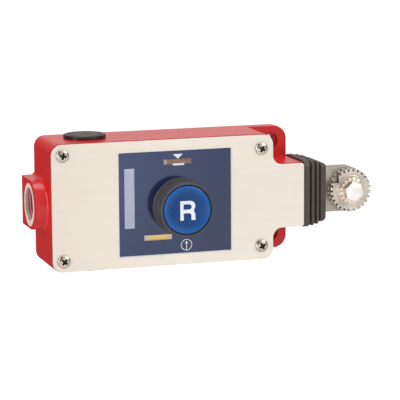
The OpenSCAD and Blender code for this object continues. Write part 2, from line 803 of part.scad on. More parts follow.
// Pair of bent strips, each with a terminal pad, a leg and a foot with a rivet
module fixed_contacts() for (s = [0, 1]) translate([plunger_x, 0, 0]) mirror([s, 0, 0]) difference() {
    union() {
        translate([-block_len / 2 + 0.5, block_front - strip_t, chamber_z0])
            cube([block_len / 2 - 0.5 - chamber_half + strip_t, strip_t, strip_h]);
        translate([-chamber_half, block_front - strip_t, chamber_z0])
            cube([strip_t, y_shaft + strip_half_w - block_front + strip_t, strip_z - chamber_z0 + strip_t]);
        translate([-chamber_half, y_shaft - strip_half_w, strip_z]) cube([6, strip_half_w * 2, strip_t]);
        translate([-rivet_off, y_shaft, 0])
            rod_z(rivet_r, strip_z + strip_t - eps, strip_z + strip_t + tip_t);
    }
    translate([-terminal_off, 0, terminal_z])
        rod_y(terminal_screw_r + 0.2, block_front - 2, block_front + 1);
}

module upper_fixed_contacts() color("goldenrod") fixed_contacts();

module lower_fixed_contacts() color("goldenrod") mirror([0, 0, 1]) fixed_contacts();

module terminal_screws() color("silver") for (x = [-1, 1], z = [-1, 1])
    translate([plunger_x + x * terminal_off, 0, z * terminal_z]) {
        rod_y(terminal_head_r, block_front - strip_t - terminal_head_t, block_front - strip_t);
        rod_y(terminal_screw_r, block_front - strip_t - eps, block_front + screw_depth);
    }

module block_screws() color("silver") at_block_screws() {
    rod_y(block_head_r, block_front - guide_t - block_head_t, block_front - guide_t);
    rod_y(block_screw_r, block_front - guide_t - eps, -1.6);
}

// Plunger with a domed tip; out is how far it is pressed at rest
module plunger(out) {
    tip = cam_low + cam_slope * (cam_foot - plunger_x) + 0.1;
    dome = plunger_tip_r / cos(atan(cam_slope));
    translate([plunger_x, y_shaft, out]) {
        translate([0, 0, tip + dome]) sphere(plunger_tip_r);
        rod_z(plunger_tip_r, tip + dome, shoulder_z);
        rod_z(plunger_stem_r, shoulder_z - eps, chamber_z1 - plunger_lift - plunger_head_gap);
    }
}

module bridge(out) translate([plunger_x, y_shaft, shoulder_z + out]) difference() {
    union() {
        translate([-bridge_len / 2, -bridge_w / 2, 0]) cube([bridge_len, bridge_w, bridge_t]);
        for (s = [-1, 1]) translate([s * rivet_off, 0, 0]) rod_z(rivet_r, -tip_t, eps);
    }
    rod_z(plunger_stem_r + 0.03, -1, bridge_t + 1);
}

module contact_spring(out) {
    seat = shoulder_z + bridge_t + out;
    translate([plunger_x, y_shaft, seat + 0.05])
        coil(contact_wire, contact_coil, contact_turns, chamber_z1 - seat - 0.1, 6);
}

module upper_plunger() color("tomato") plunger(0);

module lower_plunger() color("tomato") mirror([0, 0, 1]) plunger(plunger_lift);

module upper_bridge() color("goldenrod") bridge(0);

module lower_bridge() color("goldenrod") mirror([0, 0, 1]) bridge(plunger_lift);

module upper_contact_spring() color("silver") contact_spring(0);

module lower_contact_spring() color("silver") mirror([0, 0, 1]) contact_spring(plunger_lift);

// Shaft and eye block in one piece
module drawbar() color("darkgray") difference() {
    union() {
        at_shaft() {
            rod_x(shaft_end_d / 2, shaft_end_x, ring_x - 1);
            rod_x(shaft_d / 2, ring_x - 2, x_eye + 1);
        }
        intersection() {
            plate(y_eye, y_eye + eye_t) {
                translate([x_eye, -eye_half]) square([x_bolt - x_eye, eye_half * 2]);
                translate([x_bolt, 0]) circle(eye_half);
            }
            along_x(x_eye - 1, x_bolt + eye_half + 1) {
                back = y_eye + eye_t;
                translate([y_eye - 1, -eye_half]) square([eye_t + 1 - eye_back_r, eye_half * 2]);
                translate([back - eye_back_r - 1, -eye_half + eye_back_r])
                    square([eye_back_r + 1, (eye_half - eye_back_r) * 2]);
                for (s = [-1, 1]) translate([back - eye_back_r, s * (eye_half - eye_back_r)])
                    circle(eye_back_r);
            }
        }
        // Fixed jaw of the rope clamp
        difference() {
            at_bolt() turned_y([
                [0, y_eye + 1], [disc_d / 2, y_eye + 1], [disc_d / 2, y_jaw + cone_rise],
                [jaw_flat_r, y_jaw], [0, y_jaw]
            ]);
            notches(y_jaw - 1, y_eye);
        }
    }
    at_bolt() {
        rod_y(clamp_bolt_d / 2 + slide_gap, y_jaw - 1, y_eye + eye_t + 1);
        hex_y(clamp_hex + slide_gap, y_eye + eye_t - nut_t, y_eye + eye_t + 1);
    }
    at_shaft() {
        ring_cut(shaft_d / 2 - groove_depth, ring_x, ring_x + ring_t);
        translate([cam_pin_x, 0, 0]) rod_y(cam_pin_r, -10, 10);
    }
}

module ring_cut(r, x0, x1) difference() {
    rod_x(r + 5, x0, x1);
    rod_x(r, x0 - 1, x1 + 1);
}

// Notches round the rim of the clamp
module notches(front, back) at_bolt() for (i = [0:notch_n - 1]) rotate([0, 360 * i / notch_n, 0])
    translate([disc_d / 2 - notch_depth, front, -notch_w / 2])
        cube([notch_depth + 2, back - front, notch_w]);

// Slide with a ramp above for the upper plunger and one below for the lower plunger
module cam_slide() color("khaki") difference() {
    top = cam_low + cam_slope * (cam_foot - cam_x0);
    bottom = -cam_low - cam_slope * (cam_foot - cam_x0 - 2);
    plate(cam_y, y_shaft + cam_half_t) polygon([
        [cam_x0, top], [cam_foot, cam_low], [cam_x1, cam_low],
        [cam_x1, bottom], [cam_foot, bottom], [cam_x0 + 2, -cam_low], [cam_x0, -cam_low]
    ]);
    at_shaft() rod_x(shaft_end_d / 2 + 0.03, shaft_end_x - 0.3, cam_x1 + 1);
    translate([cam_pin_x, 0, 0]) rod_y(cam_pin_r, cam_y - 1, y_shaft + cam_half_t + 1);
    // Rebate for the latch tooth
    translate([reset_x - latch_tooth_w / 2 - 0.5 - pull, cam_y - 1, -block_out])
        cube([pull * 4, rebate_t + 1, block_out + latch_low + latch_tooth_h * 2 + rebate_gap]);
}

module cam_pin() color("silver") translate([cam_pin_x, 0, 0])
    rod_y(cam_pin_r - 0.03, cam_y + slide_gap, y_shaft + cam_half_t - slide_gap);

module retaining_ring() color("gray") at_shaft() difference() {
    rod_x(ring_r, ring_x, ring_x + ring_t);
    rod_x(shaft_d / 2 - groove_depth + thread_gap, ring_x - 1, ring_x + ring_t + 1);
    translate([ring_x - 1, -ring_mouth / 2, -ring_mouth - shaft_d / 2 + 1])
        cube([ring_t + 2, ring_mouth, ring_mouth]);
}

// Arm from the shaft to the tension window
module indicator_arm() color("silver") {
    tab_x = tension_x - window_len / 2 - pull - flag_margin;
    top = tension_z + arm_tab_half;
    difference() {
        union() {
            at_shaft() rod_x(arm_hub_r, arm_x, plate_x);
            translate([arm_x, y_shaft - arm_w / 2, 0]) cube([arm_plate_t, arm_w, top]);
            translate([arm_x, y_arm, tension_z - arm_foot])
                cube([arm_plate_t, y_shaft + arm_w / 2 - y_arm, top - tension_z + arm_foot]);
        }
        at_shaft() rod_x(shaft_d / 2 + 0.03, arm_x - 1, plate_x + 1);
    }
    translate([tab_x, y_arm, tension_z - arm_tab_half]) cube([plate_x - tab_x, arm_t, arm_tab_half * 2]);
}

module tension_flag() color("orange")
    translate([tension_x - window_len / 2 - pull - flag_margin, y_flag, tension_z - tension_tab_half])
        cube([window_len + pull + flag_margin * 2, flag_t, tension_tab_half * 2]);

module spring_plate() color("gray") at_shaft() difference() {
    union() {
        rod_x(plate_r, plate_x, plate_x + plate_t);
        rod_x(plate_hub_r, plate_x, plate_x + plate_hub_len);
    }
    rod_x(shaft_d / 2 + 0.03, plate_x - 1, plate_x + plate_hub_len + 1);
}

module main_spring() color("silver") {
    x0 = plate_x + plate_t + 0.1;
    at_shaft() translate([x0, 0, 0]) rotate([0, 90, 0])
        coil(main_wire, main_coil, main_turns, cavity_x1 - bush_flange_t - 0.1 - x0);
}

// One rounded slab of the bellows, set in by a margin
module fold(x0, x1, inset) along_x(x0, x1) translate([bellows_depth / 2 - bellows_front, 0])
    pill(bellows_depth - 2 * inset, bellows_h - 2 * inset, bellows_r - inset / 2, $fn = 32);

module bellows() color("darkslategray") at_shaft() {
    collar = x_bellows + 3.6;
    end = x_bellows + bellows_len;
    difference() {
        union() {
            fold(x_bellows, collar, 0);
            fold(collar - eps, end - 6, 2.2);
            for (x = [collar + 2.6, collar + 5.2]) hull() {
                fold(x - 1.5, x + 1.5, 1.6);
                fold(x - 0.6, x + 0.6, 0);
            }
            hull() {
                fold(end - 4.4, end - 4.2, 1.4);
                fold(end - 1, end, 3.2);
            }
        }
        fold(x_bellows - 1, end - 5, hollow_in);
        fold(x_bellows, end - bellows_wall, hollow_in + 2);
        rod_x(shaft_d / 2 + slide_gap, x_bellows, end + 1);
    }
}

module clamp_nut() color("silver") at_bolt() difference() {
    hex_y(clamp_hex, y_eye + eye_t - nut_t, y_eye + eye_t);
    rod_y(clamp_bolt_d / 2 + thread_gap, y_eye, y_eye + eye_t + 1);
}

module clamp_disc() color("gainsboro") difference() {
    at_bolt() turned_y([
        [clamp_bolt_d / 2 + 0.2, disc_back], [jaw_flat_r, disc_back], [disc_d / 2, disc_front + disc_rim_t],
        [disc_d / 2, disc_front + 0.3], [disc_d / 2 - 0.3, disc_front], [disc_hub_r, disc_front],
        [disc_hub_r - 0.3, disc_front - disc_hub_t], [clamp_bolt_d / 2 + 0.2, disc_front - disc_hub_t]
    ]);
    notches(disc_front - 2, disc_back + 2);
    translate([x_bolt - disc_d, disc_front - 2, rope_notch_z])
        cube([disc_d - rope_notch_x, disc_back - disc_front + 4, disc_d]);
}

module lock_washer() color("silver") difference() {
    at_bolt() turned_y([
        [clamp_bolt_d / 2 + 0.2, bolt_seat], [washer_r - 1, bolt_seat], [washer_r, bolt_seat + 0.4],
        [washer_r, bolt_seat + washer_t], [clamp_bolt_d / 2 + 0.2, bolt_seat + washer_t]
    ]);
    at_bolt() for (i = [0:washer_n - 1]) rotate([0, 360 * i / washer_n, 0])
        translate([washer_r - washer_tooth, bolt_seat - 1, -washer_slot / 2])
            cube([washer_tooth + 1, washer_t + 2, washer_slot]);
}

module clamp_bolt() color("whitesmoke") at_bolt() {
    bolt_top = bolt_seat - bolt_head_t;
    intersection() {
        hex_y(clamp_hex, bolt_top, bolt_seat);
        turned_y([
            [0, bolt_top], [clamp_hex / 2 - 0.2, bolt_top], [clamp_hex / 2 + 1.4, bolt_top + 0.8],
            [clamp_hex / 2 + 1.4, bolt_seat], [0, bolt_seat]
        ]);
    }
    rod_y(clamp_bolt_d / 2, bolt_seat - eps, y_eye + eye_t - 0.5);
}

housing();
cover_gasket();
front_cover();
cover_screws();
label_plate();
window_lenses();
top_plug();
bottom_plug();
plug_seals();
shaft_bush();
wiper_seal();
earth_clamp();
earth_screw();
button_guard();
ring_nut();
reset_cap();
reset_stem();
reset_spring();
guide_plate();
latch_slide();
state_flag();
upper_contact_block();
lower_contact_block();
upper_fixed_contacts();
lower_fixed_contacts();
terminal_screws();
block_screws();
upper_plunger();
lower_plunger();
upper_bridge();
lower_bridge();
upper_contact_spring();
lower_contact_spring();
drawbar();
cam_slide();
cam_pin();
retaining_ring();
indicator_arm();
tension_flag();
spring_plate();
main_spring();
bellows();
clamp_nut();
clamp_disc();
lock_washer();
clamp_bolt();
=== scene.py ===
import json
from math import atan2, cos, hypot, pi, radians, sin

import bmesh
import bpy
from mathutils import Matrix, Quaternion, Vector


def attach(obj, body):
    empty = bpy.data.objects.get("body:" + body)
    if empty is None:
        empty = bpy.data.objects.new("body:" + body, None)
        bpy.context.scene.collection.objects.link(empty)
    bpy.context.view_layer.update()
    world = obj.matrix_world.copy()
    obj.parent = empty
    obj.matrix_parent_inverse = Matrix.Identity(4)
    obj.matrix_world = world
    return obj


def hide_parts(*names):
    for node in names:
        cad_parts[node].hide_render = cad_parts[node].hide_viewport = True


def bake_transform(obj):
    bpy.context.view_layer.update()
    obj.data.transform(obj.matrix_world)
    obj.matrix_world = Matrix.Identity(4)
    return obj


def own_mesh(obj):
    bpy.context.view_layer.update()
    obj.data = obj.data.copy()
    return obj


for leftover in ("Cube", "Light", "Camera"):
    if leftover in bpy.data.objects:
        bpy.data.objects.remove(bpy.data.objects[leftover])

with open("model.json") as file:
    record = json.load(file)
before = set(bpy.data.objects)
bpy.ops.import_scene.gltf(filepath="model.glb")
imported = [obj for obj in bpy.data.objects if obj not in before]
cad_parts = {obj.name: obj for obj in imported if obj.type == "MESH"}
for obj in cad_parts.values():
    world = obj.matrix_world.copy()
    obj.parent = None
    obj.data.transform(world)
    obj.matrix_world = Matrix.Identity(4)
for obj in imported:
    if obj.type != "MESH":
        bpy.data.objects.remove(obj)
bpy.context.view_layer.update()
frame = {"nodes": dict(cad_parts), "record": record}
print("frame loaded:", len(frame["nodes"]), "nodes")

mm = 0.001


def boxOf(node):
    # low and high corners of a CAD node, in mm
    corners = [Vector(v.co) / mm for v in frame["nodes"][node].data.vertices]
    return (Vector(min(c[i] for c in corners) for i in range(3)),
            Vector(max(c[i] for c in corners) for i in range(3)))


def middleOf(node):
    low, high = boxOf(node)
    return (low + high) / 2


def paintColour(red, green, blue):
    # 0-255 screen values to the linear ones that the sockets take
    linear = []
    for value in (red, green, blue):
        share = value / 255
        linear.append(share / 12.92 if share <= 0.04045 else ((share + 0.055) / 1.055) ** 2.4)
    return (*linear, 1.0)


def addObject(name, mesh, material=None):
    thing = bpy.data.objects.new(name, mesh)
    bpy.context.scene.collection.objects.link(thing)
    if material:
        mesh.materials.clear()
        mesh.materials.append(material)
    return thing


def seat(thing, body, slot, *replaced):
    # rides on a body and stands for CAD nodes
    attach(thing, body)
    if replaced:
        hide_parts(*replaced)
    return thing


def toMesh(work, mesh):
    work.to_mesh(mesh)
    work.free()
    return mesh


def meshFrom(name, points, faces):
    mesh = bpy.data.meshes.new(name)
    mesh.from_pydata([tuple(Vector(p) * mm) for p in points], [], faces)
    mesh.validate()
    return mesh


def smoothUpTo(mesh, degrees):
    # smooth shading, with sharp edges where the faces turn by more than this
    mesh.shade_smooth()
    mesh.set_sharp_from_angle(angle=radians(degrees))


def tidyNormals(mesh, sharpDegrees=None):
    work = bmesh.new()
    work.from_mesh(mesh)
    bmesh.ops.remove_doubles(work, verts=work.verts, dist=1e-7)
    bmesh.ops.recalc_face_normals(work, faces=work.faces)
    toMesh(work, mesh)
    if sharpDegrees is not None:
        smoothUpTo(mesh, sharpDegrees)


def lathe(name, profile, segments=96):
    # profile is (radius, y) in mm, turned about the Y axis through the origin
    points, faces, rings = [], [], []
    for radius, y in profile:
        if radius < 1e-6:
            rings.append([len(points)])
            points.append((0, y, 0))
            continue
        rings.append(list(range(len(points), len(points) + segments)))
        for i in range(segments):
            angle = 2 * pi * i / segments
            points.append((radius * cos(angle), y, radius * sin(angle)))
    for a, b in zip(rings, rings[1:]):
        for i in range(segments):
            j = (i + 1) % segments
            if len(a) == 1 and len(b) == 1:
                break
            if len(a) == 1:
                faces.append((a[0], b[i], b[j]))
            elif len(b) == 1:
                faces.append((a[i], b[0], a[j]))
            else:
                faces.append((a[i], b[i], b[j], a[j]))
    return meshFrom(name, points, faces)


def plateFrom(name, outlines, front, back):
    # closed X-Z outlines in mm, made into flat pieces between two Y levels
    work = bmesh.new()
    for outline in outlines:
        lower = [work.verts.new(Vector((x, front, z)) * mm) for x, z in outline]
        upper = [work.verts.new(Vector((x, back, z)) * mm) for x, z in outline]
        count = len(outline)
        work.faces.new(lower)
        work.faces.new(list(reversed(upper)))
        for i in range(count):
            j = (i + 1) % count
            work.faces.new((lower[i], upper[i], upper[j], lower[j]))
    bmesh.ops.recalc_face_normals(work, faces=work.faces)
    return toMesh(work, bpy.data.meshes.new(name))


def arc(cx, cz, radius, start, end, steps):
    return [
        (cx + radius * cos(radians(a)), cz + radius * sin(radians(a)))
        for a in (start + (end - start) * k / steps for k in range(steps + 1))
    ]


def bakeModifiers(thing):
    # keeps the shape that the modifiers give, and drops them
    graph = bpy.context.evaluated_depsgraph_get()
    done = bpy.data.meshes.new_from_object(thing.evaluated_get(graph))
    thing.modifiers.clear()
    thing.data = done


def softenEdges(thing, width, segments=2, degrees=30):
    bevel = thing.modifiers.new("softEdges", "BEVEL")
    bevel.width = width * mm
    bevel.segments = segments
    bevel.limit_method = "ANGLE"
    bevel.angle_limit = radians(degrees)
    bevel.harden_normals = True
    bevel.use_clamp_overlap = True


def copyOfNode(node, name, material):
    # the CAD node's own shape with its flat faces joined, ready for softer edges
    mesh = frame["nodes"][node].data.copy()
    mesh.name = name
    work = bmesh.new()
    work.from_mesh(mesh)
    bmesh.ops.remove_doubles(work, verts=work.verts, dist=2e-6)
    bmesh.ops.dissolve_limit(
        work, angle_limit=radians(0.6), use_dissolve_boundaries=False,
        verts=work.verts, edges=work.edges)
    bmesh.ops.recalc_face_normals(work, faces=work.faces)
    toMesh(work, mesh)
    if "custom_normal" in mesh.attributes:
        mesh.attributes.remove(mesh.attributes["custom_normal"])
    smoothUpTo(mesh, 30)
    return addObject(name, mesh, material)


# nodes that both groups and materials are wired from

def feed(node, label, value):
    # a number or a colour is set on the socket, anything else is wired to it
    if isinstance(value, (int, float, tuple)):
        node.inputs[label].default_value = value
    else:
        node.id_data.links.new(value, node.inputs[label])


def newGroup(name, inputs, outputs):
    group = bpy.data.node_groups.new(name, "ShaderNodeTree")
    for label, value in inputs.items():
        socket = group.interface.new_socket(name=label, in_out="INPUT", socket_type="NodeSocketFloat")
        socket.default_value = value
    for label in outputs:
        group.interface.new_socket(name=label, in_out="OUTPUT", socket_type="NodeSocketFloat")
    return group, group.nodes.new("NodeGroupInput").outputs, group.nodes.new("NodeGroupOutput")


def mathNode(tree, operation, first, second=None, clamp=False):
    node = tree.nodes.new("ShaderNodeMath")
    node.operation = operation
    node.use_clamp = clamp
    feed(node, 0, first)
    if second is not None:
        feed(node, 1, second)
    return node.outputs[0]


def plus(tree, first, second, clamp=False):
    return mathNode(tree, "ADD", first, second, clamp)


def times(tree, first, second):
    return mathNode(tree, "MULTIPLY", first, second)


def radiusOf(tree, across, along):
    # distance from an axis, from the two offsets to it
    return mathNode(tree, "SQRT", plus(tree, times(tree, across, across), times(tree, along, along)))


def placeOf(tree):
    return tree.nodes.new("ShaderNodeTexCoord").outputs["Object"]


def splitPlace(tree):
    # X, Y and Z of the point that is shaded
    apart = tree.nodes.new("ShaderNodeSeparateXYZ")
    feed(apart, 0, placeOf(tree))
    return apart.outputs


def joinPlace(tree, **parts):
    joined = tree.nodes.new("ShaderNodeCombineXYZ")
    for label, value in parts.items():
        feed(joined, label, value)
    return joined.outputs[0]


def noiseOf(tree, vector, scale, detail=3.0, roughness=0.5):
    noise = tree.nodes.new("ShaderNodeTexNoise")
    settings = {"Vector": vector, "Scale": scale, "Detail": detail, "Roughness": roughness}
    for label, value in settings.items():
        feed(noise, label, value)
    return noise.outputs["Fac"]


# effects that several finishes share

def makeMottleGroup():
    # slow change of tone over a surface
    group, given, result = newGroup("mottle", {"Scale": 60.0, "Strength": 0.2}, ["Mask"])
    middle = 0.5
    value = noiseOf(group, placeOf(group), given["Scale"], 4.0, 0.55)
    centred = mathNode(group, "SUBTRACT", value, middle)
    feed(result, "Mask", plus(group, times(group, centred, given["Strength"]), middle, True))
    return group


def makeGrainGroup():
    # fine bumps of paint, rubber or moulded plastic
    group, given, result = newGroup("surfaceGrain", {"Scale": 900.0, "Blend": 0.5}, ["Height", "Speckle"])
    coarseShare = 0.23
    place = placeOf(group)
    fine = noiseOf(group, place, given["Scale"], 2.0, 0.6)
    coarse = noiseOf(group, place, times(group, given["Scale"], coarseShare), 2.0, 0.5)
    mixed = group.nodes.new("ShaderNodeMix")
    for label, value in (("Factor", given["Blend"]), ("A", fine), ("B", coarse)):
        feed(mixed, label, value)
    feed(result, "Height", mixed.outputs["Result"])
    feed(result, "Speckle", fine)
    return group


def makeBrushGroup():
    # long thin lines along X, as a belt leaves on sheet metal
    group, given, result = newGroup("brushLines", {"Along": 12.0, "Across": 2600.0}, ["Lines", "Bands"])
    bandScale = 0.12
    place = splitPlace(group)
    stretched = joinPlace(
        group, X=times(group, place["X"], given["Along"]), Y=times(group, place["Y"], given["Across"]),
        Z=times(group, place["Z"], given["Across"]))
    feed(result, "Lines", noiseOf(group, stretched, 1.0, 3.0, 0.6))
    feed(result, "Bands", noiseOf(group, stretched, bandScale, 2.0, 0.5))
    return group


def makeTurnGroup():
    # rings round an axis along Y, as turning leaves
    group, given, result = newGroup(
        "turnedRings", {"CentreX": 0.0, "CentreZ": 0.0, "Pitch": 3000.0}, ["Rings", "Radius"])
    place = splitPlace(group)
    radius = radiusOf(group, mathNode(group, "SUBTRACT", place["X"], given["CentreX"]),
                      mathNode(group, "SUBTRACT", place["Z"], given["CentreZ"]))
    spread = joinPlace(group, X=times(group, radius, given["Pitch"]))
    feed(result, "Rings", noiseOf(group, spread, 1.0, 3.0, 0.6))
    feed(result, "Radius", radius)
    return group


groups = {
    "mottle": makeMottleGroup(),
    "grain": makeGrainGroup(),
    "brush": makeBrushGroup(),
    "turned": makeTurnGroup(),
}
print("node groups ready")


# finishes, one material for each slot of the record and a few for details

def startMaterial(name, roughness=0.5, metallic=0.0, specular=0.5):
    material = bpy.data.materials.new(name)
    material.use_nodes = True
    surface = material.node_tree.nodes["Principled BSDF"]
    feed(surface, "Roughness", roughness)
    feed(surface, "Metallic", metallic)
    feed(surface, "Specular IOR Level", specular)
    return material, material.node_tree, surface


def groupNode(tree, key, **values):
    # places a group with its own values, and hands back what it puts out
    node = tree.nodes.new("ShaderNodeGroup")
    node.node_tree = groups[key]
    for label, value in values.items():
        feed(node, label, value)
    return node.outputs


def mixColours(tree, factor, first, second):
    mixed = tree.nodes.new("ShaderNodeMix")
    mixed.data_type = "RGBA"
    for label, value in (("Factor", factor), (6, first), (7, second)):
        feed(mixed, label, value)
    return mixed.outputs[2]


def twoTone(tree, blend, look):
    return mixColours(tree, blend, paintColour(*look["dark"]), paintColour(*look["light"]))


def shared(tree, first, firstShare, second, secondShare):
    # two masks added in the shares given
    return plus(tree, times(tree, first, firstShare), times(tree, second, secondShare))


def ramp(tree, value, low, high, outLow, outHigh, soft=False):
    node = tree.nodes.new("ShaderNodeMapRange")
    if soft:
        node.interpolation_type = "SMOOTHSTEP"
    ends = {"Value": value, "From Min": low, "From Max": high, "To Min": outLow, "To Max": outHigh}
    for label, number in ends.items():
        feed(node, label, number)
    return node.outputs["Result"]


def fromNoise(tree, value, outLow, outHigh, low=0.3, high=0.7):
    # noise keeps to the middle of its range, which is spread over the whole one
    return ramp(tree, value, low, high, outLow, outHigh)


def addBump(tree, surface, height, distance, strength=1.0):
    bump = tree.nodes.new("ShaderNodeBump")
    for label, value in (("Strength", strength), ("Distance", distance * mm), ("Height", height)):
        feed(bump, label, value)
    feed(surface, "Normal", bump.outputs["Normal"])


def addGrain(tree, surface, scale, blend, roughLow, roughHigh, bump):
    # fine bumps, and roughness that varies with them
    grain = groupNode(tree, "grain", Scale=scale, Blend=blend)
    feed(surface, "Roughness", fromNoise(tree, grain["Speckle"], roughLow, roughHigh))
    addBump(tree, surface, grain["Height"], bump)


def addToolLines(tree, surface, lines, look):
    # shallow grooves of a belt or a turning tool, and roughness that follows them
    rough = fromNoise(tree, lines, look["roughLow"], look["roughHigh"], 0.25, 0.75)
    feed(surface, "Roughness", rough)
    addBump(tree, surface, lines, look["bump"], 0.6)


def spanOf(ends):
    # both ends of a span, from mm
    return (value * mm for value in ends)


def plainFinish(name, light, dark, roughness, metallic=0.0, specular=0.5, grainScale=900.0,
                grainDepth=0.02, mottleScale=70.0, mottleStrength=0.8, roughSpread=0.08):
    # two near tones mixed by the mottle, under a fine grain
    material, tree, surface = startMaterial(name, roughness, metallic, specular)
    mottle = groupNode(tree, "mottle", Scale=mottleScale, Strength=mottleStrength)
    feed(surface, "Base Color", twoTone(tree, mottle["Mask"], {"light": light, "dark": dark}))
    addGrain(tree, surface, grainScale, 0.4, roughness - roughSpread, roughness + roughSpread, grainDepth)
    return material


def makeRedPaint():
    # enamel, with the mouth of the cable entry machined bare after painting
    look = {"light": (216, 30, 28), "dark": (203, 24, 25), "roughness": 0.25,
            "roughLow": 0.232, "roughHigh": 0.25, "bump": 0.005,
            "bare": (232, 212, 204), "bareFromX": -96.2, "bareY": -17.0, "bareZ": -0.35,
            "bareRadius": 12.0, "bareMetal": 0.05, "bareRough": 0.2}
    material, tree, surface = startMaterial("redPaint", look["roughness"])
    mottle = groupNode(tree, "mottle", Scale=45.0, Strength=0.9)
    grain = groupNode(tree, "grain", Scale=280.0, Blend=0.7)
    paint = twoTone(tree, mottle["Mask"], look)
    place = splitPlace(tree)
    reach = radiusOf(tree, plus(tree, place["Y"], -look["bareY"] * mm),
                     plus(tree, place["Z"], -look["bareZ"] * mm))
    onFace = mathNode(tree, "LESS_THAN", place["X"], look["bareFromX"] * mm)
    bare = times(tree, onFace, mathNode(tree, "LESS_THAN", reach, look["bareRadius"] * mm))
    feed(surface, "Base Color", mixColours(tree, bare, paint, paintColour(*look["bare"])))
    feed(surface, "Metallic", times(tree, bare, look["bareMetal"]))
    rough = fromNoise(tree, grain["Speckle"], look["roughLow"], look["roughHigh"])
    feed(surface, "Roughness", plus(tree, rough, times(tree, bare, look["bareRough"])))
    addBump(tree, surface, grain["Height"], look["bump"])
    return material


def makeCoverSteel():
    # brushed along X; a warmer tone lies in clouds, and painted shade darkens it towards the left end
    look = {"light": (251, 245, 233), "dark": (243, 235, 221), "shade": (224, 209, 196),
            "roughness": 0.36, "roughLow": 0.28, "roughHigh": 0.5, "metal": 0.8, "anisotropy": 0.3,
            "lineShare": 0.75, "bandShare": 0.25, "cloud": 0.16, "paintedShadeEnds": (-92, -20),
            "paintedShadeLeft": 0.5, "paintedShadeRest": 0.04, "bump": 0.005}
    material, tree, surface = startMaterial("coverSteel", look["roughness"], look["metal"])
    feed(surface, "Anisotropic", look["anisotropy"])
    brush = groupNode(tree, "brush", Along=40.0, Across=5200.0)
    mottle = groupNode(tree, "mottle", Scale=26.0, Strength=1.2)
    tone = shared(tree, brush["Lines"], look["lineShare"], brush["Bands"], look["bandShare"])
    lines = twoTone(tree, fromNoise(tree, tone, 0.0, 1.0), look)
    # painted shade: the cover turns warmer and darker towards its left end
    left, right = spanOf(look["paintedShadeEnds"])
    shade = plus(tree, fromNoise(tree, mottle["Mask"], 0.0, look["cloud"], 0.2, 0.8),
                 ramp(tree, splitPlace(tree)["X"], left, right, look["paintedShadeLeft"], look["paintedShadeRest"]))
    feed(surface, "Base Color", mixColours(tree, shade, lines, paintColour(*look["shade"])))
    addToolLines(tree, surface, brush["Lines"], look)
    return material


clampAxis = {"x": 87.1, "z": 0.0}


def makeTurnedSteel(name, light, dark):
    # turned round the clamp bolt
    look = {"light": light, "dark": dark, "roughness": 0.3, "roughLow": 0.22, "roughHigh": 0.4,
            "metal": 0.9, "ringShare": 0.35, "cloudShare": 0.65, "bump": 0.01}
    material, tree, surface = startMaterial(name, look["roughness"], look["metal"])
    turned = groupNode(
        tree, "turned", CentreX=clampAxis["x"] * mm, CentreZ=clampAxis["z"] * mm, Pitch=2600.0)
    mottle = groupNode(tree, "mottle", Scale=160.0, Strength=1.3)
    blend = shared(tree, turned["Rings"], look["ringShare"], mottle["Mask"], look["cloudShare"])
    feed(surface, "Base Color", twoTone(tree, fromNoise(tree, blend, 0.0, 1.0), look))
    addToolLines(tree, surface, turned["Rings"], look)
    return material


def makeLabelFilm():
    # deep blue printed sheet under a clear gloss, with painted light that makes it lighter above and to the
    # left
    look = {"light": (26, 34, 80), "dark": (8, 22, 52), "sheen": (0.62, 0.7, 1.0, 1.0),
            "roughness": 0.11, "roughLow": 0.08, "roughHigh": 0.15, "specular": 1.0, "ior": 1.62,
            "ends": (-51, 14), "heights": (-29, 29), "paintedLightLeft": 0.55, "paintedLightUp": 0.45,
            "paintedLightShare": 0.8, "cloudShare": 0.2, "bump": 0.003}
    material, tree, surface = startMaterial("labelFilm", look["roughness"], specular=look["specular"])
    feed(surface, "IOR", look["ior"])
    feed(surface, "Specular Tint", look["sheen"])
    place = splitPlace(tree)
    (left, right), (low, high) = spanOf(look["ends"]), spanOf(look["heights"])
    # painted light: the blue turns lighter towards the top and the left
    paintedLight = plus(tree, ramp(tree, place["Z"], low, high, 0.0, look["paintedLightUp"]),
                ramp(tree, place["X"], left, right, look["paintedLightLeft"], 0.0))
    mottle = groupNode(tree, "mottle", Scale=120.0, Strength=0.5)
    blend = shared(tree, paintedLight, look["paintedLightShare"], mottle["Mask"], look["cloudShare"])
    feed(surface, "Base Color", twoTone(tree, blend, look))
    addGrain(tree, surface, 500.0, 0.8, look["roughLow"], look["roughHigh"], look["bump"])
    return material


def makeButtonBlue():
    # moulded cap, with painted shade that makes it darker in the dish than at its rim
    look = {"light": (30, 99, 175), "dark": (8, 38, 88), "roughness": 0.24, "roughLow": 0.22,
            "roughHigh": 0.3, "specular": 0.28, "dishShadeRadius": 8.8, "rimRadius": 13.2, "dishShadeTone": 0.3,
            "dishShadeShare": 0.8, "cloudShare": 0.2, "bump": 0.003}
    material, tree, surface = startMaterial("buttonBlue", look["roughness"], specular=look["specular"])
    axis = middleOf("reset_cap")
    turned = groupNode(tree, "turned", CentreX=axis.x * mm, CentreZ=axis.z * mm, Pitch=800.0)
    mottle = groupNode(tree, "mottle", Scale=90.0, Strength=0.6)
    # painted shade: darker inside the dish, full tone towards the rim
    edge = ramp(tree, turned["Radius"], look["dishShadeRadius"] * mm, look["rimRadius"] * mm,
                look["dishShadeTone"], 1.0)
    blend = shared(tree, edge, look["dishShadeShare"], mottle["Mask"], look["cloudShare"])
    feed(surface, "Base Color", twoTone(tree, blend, look))
    addGrain(tree, surface, 700.0, 0.6, look["roughLow"], look["roughHigh"], look["bump"])
    return material


def bandAlongX(tree, low, high):
    # 1 between two places in mm, else 0
    x = splitPlace(tree)["X"]
    above, below = mathNode(tree, "GREATER_THAN", x, low * mm), mathNode(tree, "LESS_THAN", x, high * mm)
    return times(tree, above, below)


